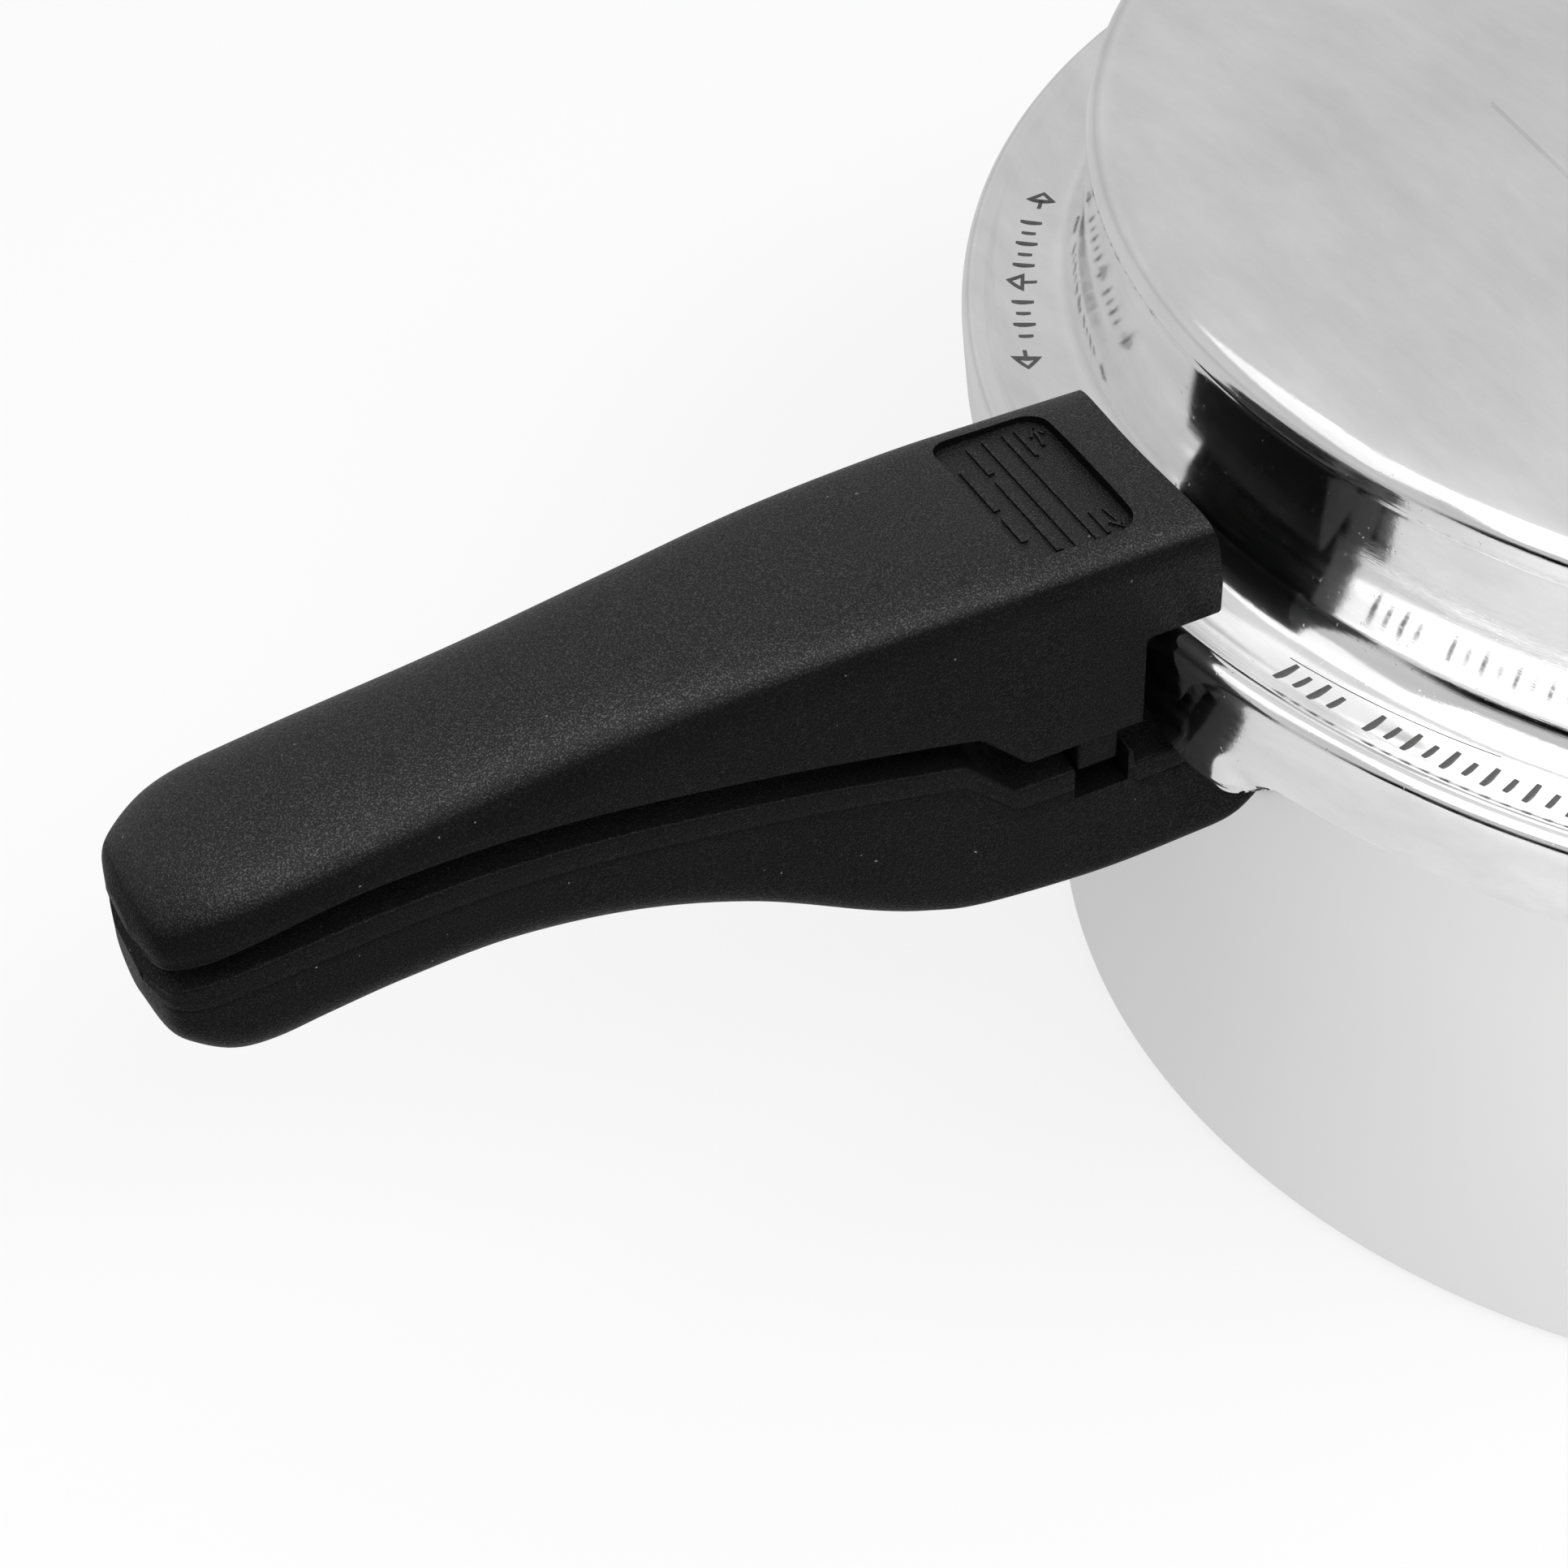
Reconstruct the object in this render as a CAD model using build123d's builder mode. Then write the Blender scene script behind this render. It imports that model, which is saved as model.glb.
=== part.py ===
from build123d import *
import math
import os

# Stovetop pressure cooker, in millimetres.
# Origin: centre of the pan's underside. +Z is up, and the long handles point along -X.

os.makedirs("parts", exist_ok=True)

# ---- Driving dimensions: pan ----
PAN_R = 111.0
WALL_T = 3.2
BASE_T = 5.0
BASE_CORNER_R = 2.5
INNER_CORNER_R = 9.0
RIM_TOP_Z = 101.5
RIM_T = 2.7
RIM_R = 115.3
LUG_COUNT = 6
PAN_LUG_R = 122.5
PAN_LUG_HALF_DEG = 14.0

# ---- Driving dimensions: lid ----
FLANGE_R = 128.3
RIDGE_Z = 110.0
DISH_R = 119.7
DISH_Z = 107.9
SKIRT_BOTTOM_Z = 96.0
SKIRT_R = 127.6
SKIRT_INNER_R = 124.9
GROOVE_TOP_Z = 105.1
DOME_R = 111.2
DOME_CREASE_Z = 134.2
SHOULDER_Z = 139.0
CROWN_Z = 146.5
LID_T = 3.0
LID_LUG_IN_R = 117.0
LID_LUG_T = 2.6
LID_LUG_HALF_DEG = 13.0
SKIRT_TAB_NEAR_Z = 89.8
SKIRT_TAB_FAR_Z = 91.5
SKIRT_TAB_START_DEG = 8.0
SKIRT_TAB_END_DEG = 15.6
SKIRT_TAB_CORNER_R = 3.5

# ---- Driving dimensions: handles ----
HANDLE_TIP_X = -260.0
HANDLE_HALF_W = 17.5
HANDLE_TIP_R = 11.0
GRIP_HALF_W = 15.2
UPPER_FRONT_X = -120.8
WIDE_END_X = -235.0
SKIRT_GAP = 2.7
HANDLE_BLANK_H = 60.0
HANDLE_BLANK_TOP_Z = 130.0
TONGUE_HALF_W = 8.0
TONGUE_END_X = -151.0
TONGUE_LOW_Z = 99.5
TONGUE_TOP_Z = 105.2
FIT = 0.25
LID_SCREW_X = -142.0
PAN_SCREW_X = -141.0
SCREW_R = 2.5
SCREW_HOLE_R = 2.75
HEAD_R = 4.6
HEAD_T = 3.0
DRIVE_SLOT_W = 1.2
DRIVE_SLOT_DEPTH = 1.4
WASHER_R = 5.2
WASHER_T = 0.8

# ---- Driving dimensions: lid fittings ----
SEAT_GAP = 0.05
PIPE_R = 5.0
PIPE_NOZZLE_R = 4.0
PIPE_BORE_R = 1.3
PIPE_LOW_Z = 134.5
PIPE_TOP_Z = 168.0
PIPE_COLLAR_AF = 14.0
PIPE_COLLAR_Z = 147.4
PIPE_COLLAR_T = 4.0
PLUG_AZ = 60.0
PLUG_RADIUS = 62.0
PLUG_BOSS_R = 12.5
PLUG_BOSS_TOP_Z = 144.6
PLUG_BOSS_LOW_Z = 139.4
PLUG_R = 6.0
PLUG_HEX_AF = 17.0
LID_DRILL_DEPTH = 20.0


def hex_radius(across_flats):
    """Corner radius of a hexagon from its width across flats."""
    return across_flats / math.sqrt(3)


def ring_sector(inner_r, outer_r, middle_deg, half_deg):
    """A flat sector of a ring, as a sketch in the XY plane."""
    start = middle_deg - half_deg
    sweep_deg = 2 * half_deg
    with BuildSketch(Plane.XY, mode=Mode.PRIVATE) as flat:
        with BuildLine():
            outer = CenterArc((0, 0), outer_r, start, sweep_deg)
            inner = CenterArc((0, 0), inner_r, start, sweep_deg)
            Line(outer @ 0, inner @ 0)
            Line(outer @ 1, inner @ 1)
        make_face()
    return flat.sketch


def part_edges_at(piece, z):
    """The edges of a piece that lie at one height."""
    return piece.edges().filter_by_position(Axis.Z, z - 0.01, z + 0.01)


def export(piece, label):
    """Names the finished piece and writes its STEP file."""
    piece.part.label = label
    export_step(piece.part, f"parts/{label}.step")


# ---- Pan: spun body with an out-turned rim that carries the bayonet lugs ----
PAN_INNER_R = PAN_R - WALL_T
RIM_LOW_Z = RIM_TOP_Z - RIM_T
RIVET_Z = (75.2, 85.1)
RIVET_R = 2.0
RIVET_HEAD_R = 4.5
RIVET_OUTER_HEAD_R = 3.4
RIVET_HEAD_T = 1.6

with BuildPart() as pan_body:
    with BuildSketch(Plane.XZ):
        with BuildLine():
            Line((0, 0), (PAN_R - BASE_CORNER_R, 0))
            RadiusArc((PAN_R - BASE_CORNER_R, 0), (PAN_R, BASE_CORNER_R), -BASE_CORNER_R)
            Line((PAN_R, BASE_CORNER_R), (PAN_R, RIM_LOW_Z))
            Line((PAN_R, RIM_LOW_Z), (RIM_R, RIM_LOW_Z))
            Line((RIM_R, RIM_LOW_Z), (RIM_R, RIM_TOP_Z))
            Line((RIM_R, RIM_TOP_Z), (PAN_INNER_R, RIM_TOP_Z))
            Line((PAN_INNER_R, RIM_TOP_Z), (PAN_INNER_R, BASE_T + INNER_CORNER_R))
            RadiusArc(
                (PAN_INNER_R, BASE_T + INNER_CORNER_R),
                (PAN_INNER_R - INNER_CORNER_R, BASE_T),
                INNER_CORNER_R,
            )
            Line((PAN_INNER_R - INNER_CORNER_R, BASE_T), (0, BASE_T))
            Line((0, BASE_T), (0, 0))
        make_face()
    revolve(axis=Axis.Z)
    with BuildSketch(Plane.XY.offset(RIM_LOW_Z)):
        for lug in range(LUG_COUNT):
            add(ring_sector(RIM_R - 1, PAN_LUG_R, lug * 360 / LUG_COUNT, PAN_LUG_HALF_DEG))
    extrude(amount=RIM_T)
    with BuildSketch(Plane.YZ.offset(-PAN_R - 1)):
        with Locations(*[(0, z) for z in RIVET_Z]):
            Circle(RIVET_R + 0.05)
    extrude(amount=2 * WALL_T, mode=Mode.SUBTRACT)
export(pan_body, "pan_body")

# ---- Pan bracket: steel plate on the wall with a flat tongue for the handle ----
BRACKET_T = 2.0
BRACKET_HALF_W = 10.0
BRACKET_LOW_Z = 71.5
BRACKET_TOP_Z = 88.5
BRACKET_IN_R = PAN_R + 0.05
BRACKET_OUT_R = BRACKET_IN_R + BRACKET_T
BRACKET_TONGUE_Z = 79.0
BRACKET_TONGUE_T = 2.5
BRACKET_TONGUE_END_X = -152.0
BRACKET_TONGUE_HALF_W = 8.0
BRACKET_HALF_DEG = math.degrees(math.asin(BRACKET_HALF_W / BRACKET_OUT_R))

with BuildPart() as pan_bracket:
    with BuildSketch(Plane.XY.offset(BRACKET_LOW_Z)):
        add(ring_sector(BRACKET_IN_R, BRACKET_OUT_R, 180, BRACKET_HALF_DEG))
    extrude(amount=BRACKET_TOP_Z - BRACKET_LOW_Z)
    with BuildSketch(Plane.YZ.offset(-BRACKET_OUT_R - 1)):
        with Locations(*[(0, z) for z in RIVET_Z]):
            Circle(RIVET_R + 0.05)
    extrude(amount=2 * BRACKET_T, mode=Mode.SUBTRACT)
    with BuildSketch(Plane.XY.offset(BRACKET_TONGUE_Z)):
        with Locations(((BRACKET_TONGUE_END_X - PAN_R - 1) / 2, 0)):
            Rectangle(-BRACKET_TONGUE_END_X - PAN_R - 1, 2 * BRACKET_TONGUE_HALF_W)
    extrude(amount=BRACKET_TONGUE_T)
    with BuildSketch(Plane.XY.offset(BRACKET_TONGUE_Z)):
        with Locations((PAN_SCREW_X, 0)):
            Circle(SCREW_HOLE_R)
    extrude(amount=BRACKET_TONGUE_T, mode=Mode.SUBTRACT)
export(pan_bracket, "pan_bracket")

# ---- Two rivets hold the bracket to the pan wall ----
with BuildPart() as bracket_rivets:
    for z in RIVET_Z:
        with BuildSketch(Plane.YZ.offset(-BRACKET_OUT_R - RIVET_HEAD_T)):
            with Locations((0, z)):
                Circle(RIVET_OUTER_HEAD_R)
        extrude(amount=RIVET_HEAD_T - SEAT_GAP)
        with BuildSketch(Plane.YZ.offset(-BRACKET_OUT_R - SEAT_GAP)):
            with Locations((0, z)):
                Circle(RIVET_R)
        extrude(amount=BRACKET_OUT_R - PAN_INNER_R + 5 * SEAT_GAP)
        with BuildSketch(Plane.YZ.offset(-PAN_INNER_R + 4 * SEAT_GAP)):
            with Locations((0, z)):
                Circle(RIVET_HEAD_R)
        extrude(amount=RIVET_HEAD_T, taper=20)
export(bracket_rivets, "bracket_rivets")


def grip_section(x, half_w, flat_z, side_z, crown_z, square):
    """A D-shaped cross-section of a handle: a flat face, two sides and a crowned face.

    square is how boxy the crown is, from 0.55 for an ellipse to 0.95 for a square corner.
    """
    rise = crown_z - side_z
    with BuildSketch(Plane.YZ.offset(x), mode=Mode.PRIVATE) as section:
        with BuildLine():
            Line((-half_w, flat_z), (half_w, flat_z))
            Line((half_w, flat_z), (half_w, side_z))
            Bezier(
                (half_w, side_z),
                (half_w, side_z + square * rise),
                (square * half_w, crown_z),
                (0, crown_z),
            )
            Bezier(
                (0, crown_z),
                (-square * half_w, crown_z),
                (-half_w, side_z + square * rise),
                (-half_w, side_z),
            )
            Line((-half_w, side_z), (-half_w, flat_z))
        make_face()
    return section.sketch


def plan_outline(front_x):
    """Plan view of a handle: a wide front part and a narrower grip with a round tip."""
    with BuildSketch(Plane.XY, mode=Mode.PRIVATE) as plan:
        with Locations(((front_x + HANDLE_TIP_X) / 2, 0)):
            Rectangle(front_x - HANDLE_TIP_X, 2 * GRIP_HALF_W)
        tip_corners = plan.vertices().group_by(Axis.X)[0]
        fillet(tip_corners, HANDLE_TIP_R)
        with Locations(((front_x + WIDE_END_X) / 2, 0)):
            Rectangle(front_x - WIDE_END_X, 2 * HANDLE_HALF_W + 2)
    return plan.sketch


# ---- Upper handle: moulded grip over the lid's flange, with a label recess on top ----
UPPER_GRIP = [
    # x, half width, side height, crown height, squareness
    (UPPER_FRONT_X, 17.5, 121.5, 125.4, 0.93),
    (-150.0, 17.7, 121.8, 126.6, 0.93),
    (-170.0, 17.0, 119.6, 126.5, 0.87),
    (-190.0, 15.9, 116.8, 125.6, 0.76),
    (-210.0, 15.0, 115.0, 124.2, 0.66),
    (-230.0, 14.8, 114.0, 122.2, 0.62),
    (-246.0, 14.8, 112.6, 119.8, 0.62),
    (HANDLE_TIP_X, 14.6, 111.0, 116.8, 0.62),
]
HANDLE_FLAT_Z = 85.0
BLOCK_END_X = -147.0
ARCH_START = (-153.5, 103.6)
TIP_TURN_X = -246.0
OVERHANG_Z = 110.6
UPPER_LOW_Z = 96.1
TAB_LOW_Z = 91.5
TAB_FRONT_X = -133.0
TAB_BACK_X = -139.0
TAB_OUTER_Y = -17.0
TAB_INNER_Y = -12.5
RECESS_X = (-145.0, -128.5)
RECESS_HALF_W = 13.0
RECESS_DEPTH = 1.2
INSERT_R = 4.5
INSERT_LOW_Z = TONGUE_TOP_Z + FIT
INSERT_T = 9.0

with BuildPart() as upper_handle:
    for x, half_w, side_z, crown_z, square in UPPER_GRIP:
        add(grip_section(x, half_w, HANDLE_FLAT_Z, side_z, crown_z, square))
    loft()
    with BuildSketch(Plane.XY.offset(HANDLE_FLAT_Z)):
        add(plan_outline(UPPER_FRONT_X))
    extrude(amount=HANDLE_BLANK_H, mode=Mode.INTERSECT)
    # Side view: the overhang, the block behind the skirt, and the long arched grip.
    with BuildSketch(Plane.XZ.offset(-HANDLE_HALF_W - 1)):
        with BuildLine():
            FilletPolyline(
                (UPPER_FRONT_X, HANDLE_BLANK_TOP_Z),
                (UPPER_FRONT_X, UPPER_LOW_Z),
                (BLOCK_END_X, UPPER_LOW_Z + 0.4),
                ARCH_START,
                radius=0.6,
            )
            Spline(
                ARCH_START,
                (-188.0, 109.6),
                (-220.0, 112.9),
                (-248.0, 111.0),
                tangents=((-1, 0.28), (-1, -0.16)),
            )
            Line((-248.0, 111.0), (-257.4, 109.4))
            ThreePointArc((-257.4, 109.4), (-259.3, 110.0), (HANDLE_TIP_X, 111.6))
            ThreePointArc((HANDLE_TIP_X, 111.6), (-256.4, 116.6), (TIP_TURN_X, 120.2))
            Line((TIP_TURN_X, 120.2), (TIP_TURN_X, HANDLE_BLANK_TOP_Z))
            Line((TIP_TURN_X, HANDLE_BLANK_TOP_Z), (UPPER_FRONT_X, HANDLE_BLANK_TOP_Z))
        make_face()
    extrude(amount=2 * HANDLE_HALF_W + 2, mode=Mode.INTERSECT)
    # The block's front is hollowed to the skirt, which leaves the overhang above the flange.
    with BuildSketch(Plane.XY.offset(HANDLE_FLAT_Z)):
        Circle(FLANGE_R + SKIRT_GAP)
    extrude(amount=OVERHANG_Z - HANDLE_FLAT_Z, mode=Mode.SUBTRACT)
    # Label recess on the crown.
    with BuildSketch(Plane.XY.offset(126.0 - RECESS_DEPTH)):
        with Locations((sum(RECESS_X) / 2, 0)):
            RectangleRounded(RECESS_X[1] - RECESS_X[0], 2 * RECESS_HALF_W, 3.0)
    extrude(amount=5, mode=Mode.SUBTRACT)
    # Pocket for the lid's tongue, with room for the screw head below it.
    with BuildSketch(Plane.XY.offset(HANDLE_FLAT_Z)):
        with Locations(((-FLANGE_R + TONGUE_END_X) / 2 - FIT, 0)):
            Rectangle(-TONGUE_END_X - FLANGE_R + 2 * FIT, 2 * (TONGUE_HALF_W + FIT))
    extrude(amount=TONGUE_TOP_Z + FIT - HANDLE_FLAT_Z, mode=Mode.SUBTRACT)
    with BuildSketch(Plane.XY.offset(INSERT_LOW_Z - 1)):
        with Locations((LID_SCREW_X, 0)):
            Circle(INSERT_R + SEAT_GAP)
    extrude(amount=INSERT_T + 1.2, mode=Mode.SUBTRACT)
    # Guide tab that hangs into the lower handle's notch when the lid is closed.
    with BuildSketch(Plane.XY.offset(TAB_LOW_Z)):
        with Locations(((TAB_FRONT_X + TAB_BACK_X) / 2, (TAB_OUTER_Y + TAB_INNER_Y) / 2)):
            Rectangle(TAB_FRONT_X - TAB_BACK_X, TAB_INNER_Y - TAB_OUTER_Y)
    extrude(amount=UPPER_LOW_Z + 1 - TAB_LOW_Z)
export(upper_handle, "upper_handle")

# ---- Lower handle: moulded grip on the pan, with a notch for the upper handle's tab ----
LOWER_FRONT_X = -105.0
LOWER_BLANK_LOW_Z = 60.0
LOWER_TIP_TURN_X = -246.0
LOWER_GRIP = [
    # x, half width, side height, lowest height, squareness
    (LOWER_FRONT_X, 17.5, 75.0, 70.4, 0.90),
    (-120.0, 17.5, 74.6, 69.8, 0.90),
    (-135.0, 17.5, 74.6, 69.8, 0.90),
    (-152.0, 17.3, 77.0, 71.8, 0.90),
    (-168.0, 16.6, 83.4, 76.4, 0.85),
    (-184.0, 15.7, 91.2, 83.4, 0.76),
    (-200.0, 15.1, 97.0, 88.6, 0.66),
    (-220.0, 14.9, 99.0, 89.6, 0.62),
    (-240.0, 15.0, 98.6, 88.2, 0.62),
    (HANDLE_TIP_X, 15.0, 99.0, 89.6, 0.62),
]
LOWER_BLANK_TOP_Z = 115.0
LOWER_FRONT_TOP_Z = 90.6
LOWER_WALL_TOP_Z = 92.4
LOWER_STEP_X = -130.4
NOTCH_FRONT_X = -131.6
NOTCH_BACK_X = -139.6
NOTCH_LOW_Z = 87.4
NOTCH_INNER_Y = -11.8
NUT_AF = 8.0
NUT_T = 4.0
NUT_TRAP_DEPTH = 20.0
LOWER_SEAT_Z = 74.4
SCREW_WELL_DEPTH = 10.0
NOTCH_W = 10.0

with BuildPart() as lower_handle:
    for x, half_w, side_z, low_z, square in LOWER_GRIP:
        add(grip_section(x, half_w, LOWER_BLANK_TOP_Z, side_z, low_z, square))
    loft()
    with BuildSketch(Plane.XY.offset(LOWER_BLANK_LOW_Z)):
        add(plan_outline(LOWER_FRONT_X))
    extrude(amount=HANDLE_BLANK_H, mode=Mode.INTERSECT)
    with BuildSketch(Plane.XZ.offset(-HANDLE_HALF_W - 1)):
        with BuildLine():
            FilletPolyline(
                (LOWER_FRONT_X, LOWER_BLANK_LOW_Z),
                (LOWER_FRONT_X, LOWER_FRONT_TOP_Z),
                (LOWER_STEP_X, LOWER_FRONT_TOP_Z),
                (LOWER_STEP_X, LOWER_WALL_TOP_Z),
                (-148.0, LOWER_WALL_TOP_Z),
                (-155.0, 99.6),
                radius=0.6,
            )
            Spline(
                (-155.0, 99.6),
                (-188.0, 105.4),
                (-220.0, 109.0),
                (-248.0, 107.2),
                tangents=((-1, 0.24), (-1, -0.14)),
            )
            Line((-248.0, 107.2), (-257.0, 105.6))
            ThreePointArc((-257.0, 105.6), (-259.0, 104.6), (HANDLE_TIP_X + 0.4, 102.6))
            ThreePointArc((HANDLE_TIP_X + 0.4, 102.6), (-256.6, 93.2), (LOWER_TIP_TURN_X, 88.0))
            Line((LOWER_TIP_TURN_X, 88.0), (LOWER_TIP_TURN_X, LOWER_BLANK_LOW_Z))
            Line((LOWER_TIP_TURN_X, LOWER_BLANK_LOW_Z), (LOWER_FRONT_X, LOWER_BLANK_LOW_Z))
        make_face()
    extrude(amount=2 * HANDLE_HALF_W + 2, mode=Mode.INTERSECT)
    # The front end is cut to the pan's round wall.
    with BuildSketch(Plane.XY.offset(LOWER_BLANK_LOW_Z)):
        Circle(PAN_R + 0.2)
    extrude(amount=HANDLE_BLANK_H, mode=Mode.SUBTRACT)
    # Pocket for the bracket plate and its rivet heads, open towards the pan.
    with BuildSketch(Plane.XY.offset(BRACKET_LOW_Z - FIT)):
        with Locations((-PAN_R - 1.5, 0)):
            Rectangle(7.8, 2 * (BRACKET_HALF_W + FIT))
    extrude(amount=BRACKET_TOP_Z - BRACKET_LOW_Z + 2 * FIT, mode=Mode.SUBTRACT)
    # Slot for the bracket's tongue.
    with BuildSketch(Plane.XY.offset(BRACKET_TONGUE_Z - FIT)):
        with Locations(((BRACKET_TONGUE_END_X - PAN_R) / 2 - FIT, 0)):
            Rectangle(-BRACKET_TONGUE_END_X - PAN_R + 2, 2 * (BRACKET_TONGUE_HALF_W + FIT))
    extrude(amount=BRACKET_TONGUE_T + 2 * FIT, mode=Mode.SUBTRACT)
    # Screw hole from below, with a wide counterbore, and a hexagonal nut trap from above.
    with BuildSketch(Plane.XY.offset(LOWER_BLANK_LOW_Z)):
        with Locations((PAN_SCREW_X, 0)):
            Circle(WASHER_R + 0.4)
    extrude(amount=LOWER_SEAT_Z - LOWER_BLANK_LOW_Z, mode=Mode.SUBTRACT)
    with BuildSketch(Plane.XY.offset(LOWER_SEAT_Z - 1)):
        with Locations((PAN_SCREW_X, 0)):
            Circle(SCREW_HOLE_R)
    extrude(amount=SCREW_WELL_DEPTH, mode=Mode.SUBTRACT)
    with BuildSketch(Plane.XY.offset(BRACKET_TONGUE_Z + BRACKET_TONGUE_T)):
        with Locations((PAN_SCREW_X, 0)):
            RegularPolygon(hex_radius(NUT_AF) + 0.15, 6)
    extrude(amount=NUT_TRAP_DEPTH, mode=Mode.SUBTRACT)
    # Notch in the near wall for the upper handle's tab.
    with BuildSketch(Plane.XY.offset(NOTCH_LOW_Z)):
        with Locations(((NOTCH_FRONT_X + NOTCH_BACK_X) / 2, NOTCH_INNER_Y - NOTCH_W / 2)):
            Rectangle(NOTCH_FRONT_X - NOTCH_BACK_X, NOTCH_W)
    extrude(amount=NOTCH_W, mode=Mode.SUBTRACT)
export(lower_handle, "lower_handle")

# ---- Lower handle fasteners: screw, washer and nut on the pan bracket ----
LOWER_NUT_Z = BRACKET_TONGUE_Z + BRACKET_TONGUE_T + SEAT_GAP
LOWER_WASHER_Z = LOWER_SEAT_Z - WASHER_T - SEAT_GAP
LOWER_HEAD_TOP_Z = LOWER_WASHER_Z - SEAT_GAP

with BuildPart() as lower_handle_screw:
    with BuildSketch(Plane.XY.offset(LOWER_HEAD_TOP_Z - HEAD_T)):
        with Locations((PAN_SCREW_X, 0)):
            Circle(HEAD_R)
    extrude(amount=HEAD_T)
    with BuildSketch(Plane.XY.offset(LOWER_HEAD_TOP_Z)):
        with Locations((PAN_SCREW_X, 0)):
            Circle(SCREW_R)
    extrude(amount=LOWER_NUT_Z + NUT_T + 1 - LOWER_HEAD_TOP_Z)
    with BuildSketch(Plane.XY.offset(LOWER_HEAD_TOP_Z - HEAD_T)):
        with Locations((PAN_SCREW_X, 0)):
            SlotOverall(2 * HEAD_R - DRIVE_SLOT_DEPTH, DRIVE_SLOT_W)
            SlotOverall(2 * HEAD_R - DRIVE_SLOT_DEPTH, DRIVE_SLOT_W, rotation=90)
    extrude(amount=DRIVE_SLOT_DEPTH, mode=Mode.SUBTRACT)
export(lower_handle_screw, "lower_handle_screw")

with BuildPart() as lower_handle_washer:
    with BuildSketch(Plane.XY.offset(LOWER_WASHER_Z)):
        with Locations((PAN_SCREW_X, 0)):
            Circle(WASHER_R)
            Circle(SCREW_R + 0.2, mode=Mode.SUBTRACT)
    extrude(amount=WASHER_T)
export(lower_handle_washer, "lower_handle_washer")

with BuildPart() as lower_handle_nut:
    with BuildSketch(Plane.XY.offset(LOWER_NUT_Z)):
        with Locations((PAN_SCREW_X, 0)):
            RegularPolygon(hex_radius(NUT_AF), 6)
            Circle(SCREW_R + SEAT_GAP, mode=Mode.SUBTRACT)
    extrude(amount=NUT_T)
export(lower_handle_nut, "lower_handle_nut")

# ---- Lid: domed cover with a dished flange, a skirt and inward bayonet lugs ----
INNER_DOME_R = DOME_R - LID_T
WALL_FOOT_Z = 114.0

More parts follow.
